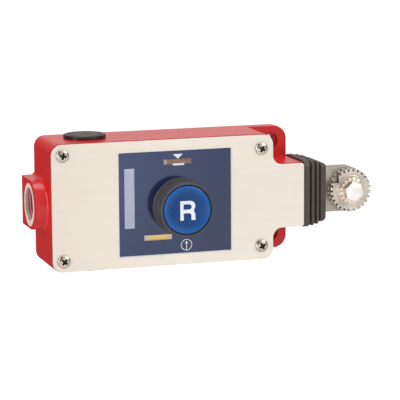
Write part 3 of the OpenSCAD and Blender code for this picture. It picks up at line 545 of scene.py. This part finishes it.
def makeFlag(name, base, bands, glow):
    # plastic strip with zones of other colours, given as (low x, high x, colour); its glow is painted
    # light, standing for the light that the clear window pipes on to it
    roughness, darkShare, bump = 0.35, 0.88, 0.006
    material, tree, surface = startMaterial(name, roughness)
    # painted light: the strip glows in its own colour
    feed(surface, "Emission Strength", glow)
    mottle = groupNode(tree, "mottle", Scale=300.0, Strength=0.8)
    darker = tuple(int(c * darkShare) for c in base)
    colour = twoTone(tree, mottle["Mask"], {"light": base, "dark": darker})
    for low, high, shade in bands:
        colour = mixColours(tree, bandAlongX(tree, low, high), colour, paintColour(*shade))
    for label in ("Base Color", "Emission Color"):
        feed(surface, label, colour)
    grain = groupNode(tree, "grain", Scale=1500.0, Blend=0.3)
    addBump(tree, surface, grain["Height"], bump)
    return material


def makeLensClear():
    look = {"colour": (236, 240, 244), "roughness": 0.08, "specular": 0.6,
            "alphaLow": 0.05, "alphaHigh": 0.12}
    material, tree, surface = startMaterial("lensClear", look["roughness"], specular=look["specular"])
    feed(surface, "Base Color", paintColour(*look["colour"]))
    grain = groupNode(tree, "grain", Scale=300.0, Blend=0.8)
    feed(surface, "Alpha", fromNoise(tree, grain["Speckle"], look["alphaLow"], look["alphaHigh"]))
    material.surface_render_method = "BLENDED"
    return material


def makeThreadMetal():
    # bare metal with a painted reflection of the red paint that tints it pink, paling towards the open end
    # of the entry where the bare metal shows
    look = {"mouth": (236, 216, 208), "outerX": -95.3, "innerX": -94.3}
    material = plainFinish("threadMetal", (226, 150, 156), (200, 112, 124), 0.42, 0.5, grainDepth=0.01)
    tree = material.node_tree
    surface = tree.nodes["Principled BSDF"]
    # painted reflection: the pink tones stand for the red paint mirrored in the metal
    paintedRedReflection = surface.inputs["Base Color"].links[0].from_socket
    paintedReflectionShare = ramp(tree, splitPlace(tree)["X"], look["outerX"] * mm, look["innerX"] * mm, 0.0, 1.0)
    feed(surface, "Base Color", mixColours(tree, paintedReflectionShare, paintColour(*look["mouth"]), paintedRedReflection))
    return material


# slot: material, lighter tone, darker tone, roughness, metallic, and what differs from the usual
plainLooks = {
    "seal_rubber": ("sealRubber", (38, 38, 36), (24, 24, 23), 0.6, 0.0, {}),
    "screw_steel": ("screwSteel", (222, 214, 202), (172, 160, 145), 0.22, 1.0, {
        "mottleScale": 260.0, "mottleStrength": 1.4, "grainScale": 1400.0, "grainDepth": 0.006,
        "roughSpread": 0.05}),
    "plug_plastic": ("plugPlastic", (54, 45, 41), (39, 32, 29), 0.34, 0.0, {
        "specular": 0.3, "grainDepth": 0.012}),
    "bush_bronze": ("bushBronze", (196, 150, 92), (160, 112, 62), 0.35, 0.95, {"grainDepth": 0.008}),
    "earth_brass": ("earthBrass", (222, 186, 112), (190, 150, 82), 0.3, 0.95, {"grainDepth": 0.006}),
    "guard_rubber": ("guardRubber", (78, 74, 79), (58, 55, 60), 0.5, 0.0, {
        "grainScale": 1100.0, "grainDepth": 0.03}),
    "stem_steel": ("stemSteel", (190, 190, 188), (150, 150, 148), 0.3, 0.95, {"grainDepth": 0.006}),
    "spring_steel": ("springSteel", (172, 172, 170), (128, 128, 126), 0.34, 0.95, {"grainDepth": 0.006}),
    "sheet_steel": ("sheetSteel", (200, 202, 200), (168, 172, 170), 0.38, 0.9, {
        "mottleScale": 240.0, "grainDepth": 0.006}),
    "latch_plastic": ("latchPlastic", (226, 224, 214), (206, 203, 192), 0.42, 0.0, {"grainDepth": 0.012}),
    "block_plastic": ("blockPlastic", (50, 50, 52), (36, 36, 38), 0.45, 0.0, {}),
    "contact_brass": ("contactBrass", (224, 190, 124), (188, 150, 88), 0.28, 0.95, {"grainDepth": 0.006}),
    "plunger_plastic": ("plungerPlastic", (206, 48, 38), (176, 34, 28), 0.4, 0.0, {"grainDepth": 0.012}),
    "drawbar_steel": ("drawbarSteel", (208, 202, 192), (168, 161, 150), 0.38, 0.85, {
        "mottleScale": 150.0, "mottleStrength": 1.3, "grainScale": 1200.0, "grainDepth": 0.015}),
    "bellows_rubber": ("bellowsRubber", (88, 76, 71), (66, 56, 52), 0.48, 0.0, {
        "grainScale": 1000.0, "grainDepth": 0.025}),
}
flagEnds = (222, 216, 204)

finishes = {slot: plainFinish(*values, **more) for slot, (*values, more) in plainLooks.items()}
finishes.update({
    "red_paint": makeRedPaint(),
    "cover_steel": makeCoverSteel(),
    "label_film": makeLabelFilm(),
    "button_blue": makeButtonBlue(),
    "clear_lens": makeLensClear(),
    "clamp_steel": makeTurnedSteel("clampSteel", (240, 233, 222), (188, 175, 158)),
    "flag_yellow": makeFlag(
        "flagYellow", (255, 227, 134), [(-40, -33.9, flagEnds), (-22.2, -18, flagEnds)], 0.45),
    # painted shade: the upper flag, its grey end and its glow are darker than the lower flag's, for the dim
    # window it lies in
    "flag_orange": makeFlag("flagOrangeInShade", (178, 116, 70), [(-24.7, -22.8, (206, 196, 184))], 0.2),
})
printWhite = plainFinish("printWhite", (246, 250, 255), (234, 240, 252), 0.4, grainDepth=0.004)
printPale = plainFinish("printPale", (188, 191, 212), (174, 177, 200), 0.4, grainDepth=0.004)
washerSteel = makeTurnedSteel("washerSteel", (248, 234, 216), (206, 190, 168))
# painted shade for the gaps between the clamp disc's teeth
notchPaintedShade = plainFinish("notchPaintedShade", (112, 106, 98), (78, 73, 68), 0.45, 0.8, grainDepth=0.01)
# painted highlight: near-white steel for the bright face of the clamp bolt
boltFaceHighlight = plainFinish("boltFaceHighlight", (255, 254, 251), (246, 243, 236), 0.36, 0.55, grainDepth=0.005)
# painted shade for the hollows of driver slots and cross recesses
recessPaintedShade = plainFinish("recessPaintedShade", (70, 62, 56), (44, 40, 38), 0.5, 0.6, grainDepth=0.01)
threadMetal = makeThreadMetal()

slotOf = {part["node"]: part["material_slot"] for part in frame["record"]["subparts"]}
for node, thing in frame["nodes"].items():
    for holder in thing.material_slots:
        holder.material = finishes[slotOf[node]]
print("materials ready:", len(bpy.data.materials))


def dressNode(node, name, body="root"):
    # a copy of a CAD node that rides on a body and stands for that node
    return seat(copyOfNode(node, name, finishes[slotOf[node]]), body, slotOf[node], node)


# housing

housingLook = {"edge": 0.55, "edgeSteps": 3, "wallGap": 0.03,
               "boreRadius": 9.188, "boreStart": -96.4, "boreEnd": -86.4, "boreY": -17.0,
               "threadPitch": 1.5, "threadDepth": 0.35, "threadCrest": 2.6, "threadSteps": 72,
               "threadRows": 6, "leadIn": 7, "leadOut": 2}


def makeHousingShell():
    # the smooth wall of the cable entry makes room for its thread
    look = housingLook
    shell = dressNode("housing", "housingShell")
    work = bmesh.new()
    work.from_mesh(shell.data)
    gone = []
    for face in work.faces:
        centre = face.calc_center_median() / mm
        if not look["boreStart"] < centre.x < look["boreEnd"]:
            continue
        reach = [hypot(v.co.y / mm - look["boreY"], v.co.z / mm) for v in face.verts]
        onWall = max(abs(r - look["boreRadius"]) for r in reach) < look["wallGap"]
        if onWall and abs(face.normal.x) < 0.1:
            gone.append(face)
    bmesh.ops.delete(work, geom=gone, context="FACES_ONLY")
    toMesh(work, shell.data)
    softenEdges(shell, look["edge"], look["edgeSteps"])
    print("housing shell, bore faces taken out:", len(gone))


def makeEntryThread():
    look = housingLook
    steps, length = look["threadSteps"], look["boreEnd"] - look["boreStart"]
    count = int(length / look["threadPitch"] * look["threadRows"]) + 1
    points, faces = [], []
    for i in range(steps):
        angle = 2 * pi * i / steps
        for k in range(count + 1):
            x = look["boreStart"] + length * k / count
            phase = ((x - look["boreStart"]) / look["threadPitch"] + i / steps) % 1.0
            height = max(0.0, 1 - abs(phase - 0.5) * look["threadCrest"])
            fade = min(1.0, (k / look["leadIn"]) ** 2, (count - k) / look["leadOut"])
            radius = look["boreRadius"] + look["threadDepth"] * height * fade
            points.append((x, look["boreY"] + radius * cos(angle), radius * sin(angle)))
    for i in range(steps):
        j = (i + 1) % steps
        for k in range(count):
            a, b = i * (count + 1) + k, j * (count + 1) + k
            faces.append((a, a + 1, b + 1, b))
    mesh = meshFrom("entryThread", points, faces)
    mesh.shade_smooth()
    seat(addObject("entryThread", mesh, threadMetal), "root", "red_paint")


makeHousingShell()
makeEntryThread()


# front cover and end plugs

coverLook = {"edge": 0.3, "edgeSteps": 3}
plugLook = {"edge": 0.12, "slotReach": 9.0, "slotDepth": 2.0, "slotLip": 0.15,
            "places": [("top_plug", "plugAbove"), ("bottom_plug", "plugBelow")]}


def shadeSlot(mesh, axis):
    # painted shade: the walls and floor of the driver slot take a darker finish than the face of the plug,
    # as they hold less light
    look = plugLook
    top = max(abs(v.co.z) for v in mesh.vertices) / mm
    mesh.materials.append(recessPaintedShade)
    for face in mesh.polygons:
        centre = face.center / mm
        sunk = top - look["slotDepth"] < abs(centre.z) < top - look["slotLip"]
        if sunk and hypot(centre.x - axis.x, centre.y - axis.y) < look["slotReach"]:
            face.material_index = 1


softenEdges(dressNode("front_cover", "coverSheet"), coverLook["edge"], coverLook["edgeSteps"])
for node, name in plugLook["places"]:
    plug = dressNode(node, name)
    shadeSlot(plug.data, middleOf(node))
    softenEdges(plug, plugLook["edge"])
print("housing, cover and plugs done")


# cover screws; places are (x, z, how far it is turned)

screwLook = {"headRadius": 3.6, "headHeight": 2.2, "seat": -39.2, "shankRadius": 2.0, "shankLength": 14.0,
             "domeBase": 0.42, "domeRise": 0.58, "domeStep": 10.5, "domeSteps": 8, "rim": 0.5,
             "chamfer": 0.12, "recessRadius": 2.35, "recessDepth": 1.5, "arm": 0.74, "armTaper": 0.55,
             "reachTaper": 0.35, "cutAbove": 0.3, "shadeFrom": 0.35, "shadeTo": 0.3,
             "places": [(-82.7, 29.2, 12), (-82.7, -29.2, 40), (31.4, 27.5, 28), (31.4, -27.5, 62)]}


def makeRecessCutter():
    # two tapered bars that cross
    look = screwLook
    top, bottom = -look["headHeight"] - look["cutAbove"], -look["headHeight"] + look["recessDepth"]
    levels = ((top, look["arm"], look["recessRadius"]),
              (bottom, look["arm"] * look["armTaper"], look["recessRadius"] * look["reachTaper"]))
    sides = ((0, 1, 2, 3), (7, 6, 5, 4), (0, 4, 5, 1), (1, 5, 6, 2), (2, 6, 7, 3), (3, 7, 4, 0))
    work = bmesh.new()
    for turn in (0, 90):
        spin = Matrix.Rotation(radians(turn), 4, "Y")
        corners = []
        for y, half, reach in levels:
            for sx, sz in ((-1, -1), (1, -1), (1, 1), (-1, 1)):
                corners.append(work.verts.new(spin @ Vector((sx * reach, y, sz * half)) * mm))
        for side in sides:
            work.faces.new([corners[i] for i in side])
    bmesh.ops.recalc_face_normals(work, faces=work.faces)
    return addObject("recessCutter", toMesh(work, bpy.data.meshes.new("recessCutter")))


def makeScrewHead():
    look = screwLook
    r, h = look["headRadius"], look["headHeight"]
    profile = [(0, -h)]
    for k in range(1, look["domeSteps"] + 1):
        a = radians(look["domeStep"] * k)
        profile.append((r * sin(a), -h * (look["domeBase"] + look["domeRise"] * cos(a))))
    profile += [(r, -look["rim"]), (r, -look["chamfer"]), (r - look["chamfer"], 0),
                (look["shankRadius"], 0), (look["shankRadius"], look["shankLength"]),
                (0, look["shankLength"])]
    mesh = lathe("screwHead", profile, 48)
    tidyNormals(mesh)
    head = addObject("screwHead", mesh)
    cutter = makeRecessCutter()
    cut = head.modifiers.new("recess", "BOOLEAN")
    cut.operation, cut.solver, cut.object = "DIFFERENCE", "EXACT", cutter
    cut.use_self = True
    bakeModifiers(head)
    bpy.data.objects.remove(cutter)
    return head


def makeCoverScrews():
    look = screwLook
    master = makeScrewHead()
    joined = bmesh.new()
    for x, z, turn in look["places"]:
        moved = master.data.copy()
        spin = Matrix.Rotation(radians(turn), 4, "Y")
        moved.transform(Matrix.Translation(Vector((x, look["seat"], z)) * mm) @ spin)
        joined.from_mesh(moved)
        bpy.data.meshes.remove(moved)
    mesh = toMesh(joined, bpy.data.meshes.new("coverScrews"))
    bpy.data.objects.remove(master)
    screws = addObject("coverScrews", mesh, finishes["screw_steel"])
    # painted shade: the faces inside each cross recess take the dark finish
    mesh.materials.append(recessPaintedShade)
    shadeLow = look["seat"] - look["headHeight"] + look["shadeFrom"]
    shadeHigh = look["seat"] - look["shadeTo"]
    for face in mesh.polygons:
        centre = face.center / mm
        reach = min(hypot(centre.x - x, centre.z - z) for x, z, _ in look["places"])
        inRecess = reach < look["recessRadius"] and shadeLow < centre.y < shadeHigh
        face.material_index = 1 if inRecess else 0
    smoothUpTo(mesh, 35)
    seat(screws, "root", "screw_steel", "cover_screws")


makeCoverScrews()
print("cover screws done")


# reset button; the letter's lists are steps in from its right side or its leg, and down or up

capLow, capHigh = boxOf("reset_cap")
capAxis = middleOf("reset_cap")
buttonLook = {"x": capAxis.x, "z": capAxis.z, "front": capLow.y, "back": capHigh.y,
              "radius": (capHigh.x - capLow.x) / 2, "dish": 1.5, "dishSteps": 20, "edge": 1.3,
              "edgeSteps": 8, "backEdge": 0.2, "wall": 1.8, "thick": 2.2, "bossRadius": 5.2,
              "socket": 4.0, "stemRadius": 4.0, "guardEdge": 0.15}
buttonLook["rimRadius"] = buttonLook["radius"] - buttonLook["edge"]

letterLook = {"wide": 8.8, "high": 10.7, "stroke": 1.95, "right": 0.4, "down": 0.4, "thick": 0.09,
              "sunk": 0.05, "bowl": 2.85, "bowlIn": 0.2, "bowlEnd": -38, "counterTop": 0.95,
              "counterLow": 0.45, "legRight": [(0.95, 0.15), (0.45, 0.9), (0.22, 2.0)],
              "footRight": [(0.2, 1.1), (0, 0)],
              "footLeft": [(0.35, 0), (0.45, 1.1)],
              "legLeft": [(0.45, 2.5), (0.65, 1.7), (1.1, 1.25), (1.8, 1.15)]}


def dishLevel(radius):
    look = buttonLook
    share = min(1.0, radius / look["rimRadius"])
    return look["front"] + look["dish"] * (1 - share ** 3)


def makeButtonCap():
    look = buttonLook
    profile = [(0, dishLevel(0))]
    for k in range(1, look["dishSteps"] + 1):
        r = look["rimRadius"] * k / look["dishSteps"]
        profile.append((r, dishLevel(r)))
    for k in range(1, look["edgeSteps"] + 1):
        a = radians(90 * k / look["edgeSteps"])
        profile.append((look["rimRadius"] + look["edge"] * sin(a),
                        look["front"] + look["edge"] * (1 - cos(a))))
    outer, boss, stem = look["radius"], look["bossRadius"], look["stemRadius"]
    skirt = outer - look["wall"]
    inner = look["front"] + look["thick"]
    socket = look["front"] + look["thick"] + look["socket"]
    profile += [(outer, look["back"] - look["backEdge"]), (outer - look["backEdge"], look["back"]),
                (skirt, look["back"]), (skirt, inner), (boss, inner), (boss, socket), (stem, socket),
                (stem, inner), (0, inner)]
    mesh = lathe("buttonCap", profile, 128)
    mesh.transform(Matrix.Translation(Vector((look["x"], 0, look["z"])) * mm))
    tidyNormals(mesh, 40)
    cap = addObject("buttonCap", mesh, finishes["button_blue"])
    seat(cap, "reset_button", "button_blue", "reset_cap")


def letterOutlines():
    # R: stem, bowl and a leg that stands almost upright, then the hole in its bowl
    look = letterLook
    w, h, t, bowl = look["wide"] / 2, look["high"] / 2, look["stroke"], look["bowl"]
    waist, leg = h - 2 * bowl, w - t
    outer = [(-w, -h), (-w, h)] + arc(w - bowl - look["bowlIn"], h - bowl, bowl, 90, look["bowlEnd"], 16)
    outer += [(w - x, waist - z) for x, z in look["legRight"]]
    outer += [(w - x, z - h) for x, z in look["footRight"]]
    outer += [(leg - x, z - h) for x, z in look["footLeft"]]
    outer += [(leg - x, waist - z) for x, z in look["legLeft"]]
    outer += [(-leg, outer[-1][1]), (-leg, -h)]
    top, low = h - t * look["counterTop"], waist + t * look["counterLow"]
    radius = (top - low) / 2
    hole = [(-leg, low), (-leg, top)]
    hole += arc(leg - radius - look["bowlIn"], top - radius, radius, 90, -90, 14)
    return outer, hole


def makeButtonLetter():
    # a thin plate that lies on the hollow of the cap
    curve = bpy.data.curves.new("letterCurve", "CURVE")
    curve.dimensions = "2D"
    curve.fill_mode = "BOTH"
    curve.extrude = letterLook["thick"] * mm
    for outline in letterOutlines():
        spline = curve.splines.new("POLY")
        spline.points.add(len(outline) - 1)
        for point, (x, z) in zip(spline.points, outline):
            point.co = (x * mm, z * mm, 0, 1)
        spline.use_cyclic_u = True
    drawn = addObject("letterCurve", curve)
    mesh = bpy.data.meshes.new_from_object(drawn.evaluated_get(bpy.context.evaluated_depsgraph_get()))
    bpy.data.objects.remove(drawn)
    for vertex in mesh.vertices:
        x = vertex.co.x / mm + letterLook["right"]
        z = vertex.co.y / mm - letterLook["down"]
        level = dishLevel(hypot(x, z)) - letterLook["sunk"] - vertex.co.z / mm
        vertex.co = Vector((buttonLook["x"] + x, level, buttonLook["z"] + z)) * mm
    tidyNormals(mesh)
    seat(addObject("buttonLetter", mesh, printWhite), "reset_button", "button_blue")


makeButtonCap()
makeButtonLetter()
softenEdges(dressNode("button_guard", "guardSleeve"), buttonLook["guardEdge"])
print("reset button done")


# printing on the label; strips are (left, right, low, high), the ring is (x, z, radius, line)

printLook = {"face": -39.6, "thick": 0.04, "paleStrip": (-48.1, -42.45, -13.1, 20.2),
             "triangle": [(-20.2, 27.1), (-14.5, 27.1), (-17.35, 24.5)], "dash": (-20.3, -13.8, 20.8, 21.9),
             "ring": (-12.7, -24.1, 3.2, 0.34), "ringSteps": 48, "stemHalf": 0.17, "stemLow": 2.85,
             "stemHigh": 0.9, "headHalf": 0.85, "headLow": 0.7, "headHigh": 2.3,
             "edges": [(-51.0, 13.7, -28.9, -28.6), (13.4, 13.7, -28.6, 28.9)]}


def boxOutline(left, right, low, high):
    return [(left, low), (right, low), (right, high), (left, high)]


def makeLabelPrint():
    look = printLook
    front, back = look["face"] - look["thick"], look["face"]
    white = [look["triangle"], boxOutline(*look["dash"])]
    x, z, radius, line = look["ring"]
    steps = look["ringSteps"]
    for k in range(steps):
        a, b = 360 * k / steps, 360 * (k + 1) / steps
        white.append(arc(x, z, radius, a, b, 1) + arc(x, z, radius - line, b, a, 1))
    stem, head, headLow = look["stemHalf"], look["headHalf"], z + look["headLow"]
    white.append(boxOutline(x - stem, x + stem, z - look["stemLow"], z + look["stemHigh"]))
    white.append([(x - head, headLow), (x + head, headLow), (x, z + look["headHigh"])])
    white += [boxOutline(*sides) for sides in look["edges"]]
    prints = plateFrom("labelPrint", white, front, back)
    seat(addObject("labelPrint", prints, printWhite), "root", "label_film")
    strip = plateFrom("labelStrip", [boxOutline(*look["paleStrip"])], front, back)
    seat(addObject("labelStrip", strip, printPale), "root", "label_film")


makeLabelPrint()
print("label print done")


# bellows; outline and lining are (x from its start, how far the wall is drawn in)

bellowsLow, bellowsHigh = boxOf("bellows")
shaftY = middleOf("shaft_bush").y
bellowsLook = {"start": bellowsLow.x, "end": bellowsHigh.x, "centreY": (bellowsLow.y + bellowsHigh.y) / 2,
               "halfDepth": (bellowsHigh.y - bellowsLow.y) / 2, "halfHeight": bellowsHigh.z,
               "corner": 3.6, "cornerLeast": 0.8, "cornerShare": 0.5, "cornerSteps": 10, "faceRadius": 8.0,
               "hole": 5.3, "holeEdge": 0.3, "holeDepth": 1.4, "blendIn": 3.1, "blendOut": 1.3,
               "outline": [(0, 0.35), (0.15, 0.06), (0.5, 0), (3.2, 0), (3.6, 0.2), (3.85, 0.9), (4.0, 2.0),
                           (4.2, 3.0), (4.45, 2.0), (4.75, 1.0), (5.2, 0.5), (5.9, 0.35), (6.5, 0.5),
                           (6.85, 1.1), (7.1, 2.1), (7.35, 3.1), (7.6, 2.2), (7.95, 1.4), (8.4, 1.0),
                           (9.0, 0.95), (9.5, 1.2), (9.85, 2.0), (10.1, 2.9), (10.3, 3.5), (10.55, 2.9),
                           (10.9, 2.3), (11.4, 2.15), (12.2, 2.2), (13.2, 2.5), (14.0, 2.95), (14.4, 3.4),
                           (14.6, 4.0)],
               "lining": [(13.1, 6.6), (10.2, 6.4), (9.2, 4.3), (4.7, 4.3), (0.1, 3.95), (0, 3.6)]}


def bellowsRing(x, inset):
    look = bellowsLook
    ring = []
    a, b = look["halfDepth"] - inset, look["halfHeight"] - inset
    corner = max(look["cornerLeast"], look["corner"] - inset * look["cornerShare"])
    for quarter, (sy, sz) in enumerate(((1, 1), (-1, 1), (-1, -1), (1, -1))):
        for k in range(look["cornerSteps"]):
            angle = radians(90 * quarter + 90 * k / (look["cornerSteps"] - 1))
            ring.append((look["start"] + x, look["centreY"] + sy * (a - corner) + corner * cos(angle),
                         sz * (b - corner) + corner * sin(angle)))
    return ring


def holeRing(x, radius):
    # a round ring with the same count and directions as the ones above
    ring = []
    for _, y, z in bellowsRing(0, 0):
        angle = atan2(z, y - bellowsLook["centreY"])
        ring.append((x, shaftY + radius * cos(angle), radius * sin(angle)))
    return ring


def makeBellows():
    look = bellowsLook
    end, hole = look["end"], look["hole"]
    rings = [bellowsRing(x, inset) for x, inset in look["outline"]]
    rings += [holeRing(end, look["faceRadius"]), holeRing(end, hole + look["holeEdge"]),
              holeRing(end - look["holeEdge"], hole), holeRing(end - look["holeDepth"], hole)]
    rings += [bellowsRing(x, inset) for x, inset in look["lining"]]
    points = [p for ring in rings for p in ring]
    faces = []
    total, count = len(rings), len(rings[0])
    for i in range(total):
        n = (i + 1) % total
        for k in range(count):
            j = (k + 1) % count
            faces.append((i * count + k, n * count + k, n * count + j, i * count + j))
    mesh = meshFrom("bellowsSleeve", points, faces)
    tidyNormals(mesh, 50)
    sleeve = addObject("bellowsSleeve", mesh, finishes["bellows_rubber"])
    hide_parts("bellows")
    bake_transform(sleeve)


makeBellows()
print("bellows done")


# springs: node, piece, joint, axis

springLook = {"sharp": 60,
              "shortened": [("reset_spring", "resetSpring", "reset_press", 1),
                            ("main_spring", "mainSpring", "drawbar_pull", 0),
                            ("upper_contact_spring", "upperContactSpring", "upper_contact_lift", 2)]}


def springCopy(node, name):
    spring = copyOfNode(node, name, finishes["spring_steel"])
    spring.data.set_sharp_from_angle(angle=radians(springLook["sharp"]))
    return spring


def makeSprings():
    for node, name, joint, axis in springLook["shortened"]:
        low, high = boxOf(node)
        spring = seat(springCopy(node, name), "root", "spring_steel", node)
        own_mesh(spring)
    node = "lower_contact_spring"
    low, high = boxOf(node)
    spring = springCopy(node, "lowerContactSpring")
    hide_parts(node)
    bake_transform(spring)


makeSprings()
print("springs done")


# drawbar head and rope clamp; parts are (node, piece, body, edge)

clampLook = {"notchInner": 2.6, "notchOuter": 0.25, "notchFlank": 0.5, "boltTurn": 20.0, "boltFlank": 0.3,
             "parts": [("drawbar", "eyeBlock", "drawbar", 0.35),
                       ("clamp_disc", "clampDisc", "rope_clamp", 0.12),
                       ("lock_washer", "toothWasher", "rope_clamp", 0.1),
                       ("clamp_bolt", "clampBolt", "rope_clamp", 0.15)]}


def paintShadeInNotches(mesh):
    # painted shade: the flanks and floors of the teeth take a darker steel, for the shade between the teeth
    look = clampLook
    low, high = boxOf("clamp_disc")
    axis, rim = (low.x + high.x) / 2, (high.x - low.x) / 2
    mesh.materials.append(notchPaintedShade)
    for face in mesh.polygons:
        centre = face.center / mm
        reach = hypot(centre.x - axis, centre.z)
        inTeeth = rim - look["notchInner"] < reach < rim - look["notchOuter"]
        if inTeeth and abs(face.normal.y) < look["notchFlank"]:
            face.material_index = 1


def finishBolt(mesh):
    # the bolt stands as it was last tightened; its face takes a near-white steel as a painted highlight,
    # its flats are plain steel
    look = clampLook
    centre = middleOf("clamp_bolt")
    toAxis = Matrix.Translation(Vector((centre.x, 0, centre.z)) * mm)
    mesh.transform(toAxis @ Matrix.Rotation(radians(look["boltTurn"]), 4, "Y") @ toAxis.inverted())
    mesh.materials[0] = boltFaceHighlight
    mesh.materials.append(finishes["screw_steel"])
    for face in mesh.polygons:
        if abs(face.normal.y) < look["boltFlank"]:
            face.material_index = 1


for node, name, body, edge in clampLook["parts"]:
    softenEdges(dressNode(node, name, body), edge)
finishBolt(bpy.data.objects["clampBolt"].data)
bpy.data.objects["toothWasher"].data.materials[0] = washerSteel
paintShadeInNotches(bpy.data.objects["clampDisc"].data)
print("rope clamp done")


# floor and world, in metres; a ramp is (from, to, value there, value there)

stageLook = {"floorZ": -0.32, "floorSize": 30.0, "floorRough": 0.9, "floorDark": (0.93, 0.93, 0.93, 1),
             "floorLight": (0.95, 0.95, 0.95, 1), "floorMirrored": (0.03, 0.03, 0.03, 1), "floorSeen": 0.6,
             "glowY": (-0.4, 0.4, 0.62, 0.0), "glowX": (0.2, 0.9, 1.3, 0.2),
             "glowNear": (-2.6, -1.2, 1.9, 0.15), "dimY": (-0.4, 0.4, 0.0, 0.93),
             "world": 0.47, "worldY": (-0.2, 0.6, 1.0, 0.6), "worldX": (-0.25, 0.15, 0.15, 1.0),
             "worldSides": (0.6, 0.9, 1.0, 0.2)}


def makeFloor():
    # white to the camera; in reflections it is bright in front and dim behind
    look = stageLook
    half = look["floorSize"] / 2
    mesh = bpy.data.meshes.new("floor")
    corners = [(-half, -half, 0), (half, -half, 0), (half, half, 0), (-half, half, 0)]
    mesh.from_pydata(corners, [], [(0, 1, 2, 3)])
    material, tree, surface = startMaterial("floorPaint", look["floorRough"])
    mottle = groupNode(tree, "mottle", Scale=2.0, Strength=0.2)
    tone = mixColours(tree, mottle["Mask"], look["floorDark"], look["floorLight"])
    path = tree.nodes.new("ShaderNodeLightPath").outputs
    place = splitPlace(tree)
    glow = times(tree, ramp(tree, place["Y"], *look["glowY"]), ramp(tree, place["X"], *look["glowX"], True))
    glow = times(tree, glow, ramp(tree, place["Y"], *look["glowNear"], True))
    mirrored = times(tree, path["Is Glossy Ray"], glow)
    straight = mathNode(tree, "MAXIMUM", path["Is Camera Ray"], path["Is Transmission Ray"])
    seen = times(tree, straight, look["floorSeen"])
    feed(surface, "Emission Color", (1, 1, 1, 1))
    feed(surface, "Emission Strength", plus(tree, seen, mirrored))
    dim = times(tree, path["Is Glossy Ray"], ramp(tree, place["Y"], *look["dimY"]))
    feed(surface, "Base Color", mixColours(tree, dim, tone, look["floorMirrored"]))
    floor = addObject("floor", mesh, material)
    floor.location.z = look["floorZ"]


def makeWorld():
    # white to the camera, an even light on the object, and softer sides in reflections
    look = stageLook
    world = bpy.data.worlds.new("studio")
    bpy.context.scene.world = world
    world.use_nodes = True
    tree = world.node_tree
    background = tree.nodes["Background"]
    feed(background, "Color", (1, 1, 1, 1))
    path = tree.nodes.new("ShaderNodeLightPath").outputs
    apart = tree.nodes.new("ShaderNodeSeparateXYZ")
    feed(apart, 0, tree.nodes.new("ShaderNodeTexCoord").outputs["Generated"])
    x, y = apart.outputs["X"], apart.outputs["Y"]
    depth, leftward = ramp(tree, y, *look["worldY"]), ramp(tree, x, *look["worldX"])
    sideways = ramp(tree, mathNode(tree, "ABSOLUTE", x), *look["worldSides"], True)
    mirrored = times(tree, times(tree, depth, leftward), sideways)
    sharp = mathNode(tree, "MAXIMUM", path["Is Glossy Ray"], path["Is Transmission Ray"])
    gap = mathNode(tree, "SUBTRACT", mirrored, look["world"])
    strength = plus(tree, times(tree, sharp, gap), look["world"])
    shown = mathNode(tree, "MAXIMUM", strength, path["Is Camera Ray"])
    feed(background, "Strength", shown)


# lamps: name, place, aim, size in metres, power in watts

lampLook = [("keySoft", (0.95, -1.0, 0.85), (0, -0.03, 0), (0.6, 0.6), 8.0),
            ("leftSoft", (-1.3, -0.5, 0.45), (-0.06, -0.02, 0), (0.3, 1.5), 9.5),
            ("overhead", (-0.1, 0.15, 1.1), (0, 0, 0), (0.9, 0.6), 5.0)]


def makeLamp(name, place, target, size, power):
    data = bpy.data.lights.new(name, "AREA")
    data.shape = "RECTANGLE"
    data.size, data.size_y = size
    data.energy = power
    lamp = addObject(name, data)
    lamp.location = place
    lamp.rotation_mode = "QUATERNION"
    lamp.rotation_quaternion = (Vector(target) - Vector(place)).to_track_quat("-Z", "Y")


# camera; target and distance in mm

cameraLook = {"azimuth": -17.53, "elevation": 9.77, "roll": -0.37, "target": (-4.56, -39.15, 0.53),
              "distance": 1201.2, "lens": 194.9, "sensor": 36.0, "clip": (0.05, 50.0)}


def makeCamera():
    look = cameraLook
    a, e = radians(look["azimuth"]), radians(look["elevation"])
    back = Vector((sin(a) * cos(e), -cos(a) * cos(e), sin(e)))
    roll = Quaternion((0, 0, 1), radians(look["roll"]))
    data = bpy.data.cameras.new("camera")
    data.lens, data.sensor_width = look["lens"], look["sensor"]
    data.clip_start, data.clip_end = look["clip"]
    camera = addObject("camera", data)
    camera.location = (Vector(look["target"]) + back * look["distance"]) * mm
    camera.rotation_mode = "QUATERNION"
    camera.rotation_quaternion = (-back).to_track_quat("-Z", "Y") @ roll
    bpy.context.scene.camera = camera


makeFloor()
makeWorld()
for lampValues in lampLook:
    makeLamp(*lampValues)
makeCamera()
bpy.context.scene.view_settings.view_transform = "Standard"
print("stage done")
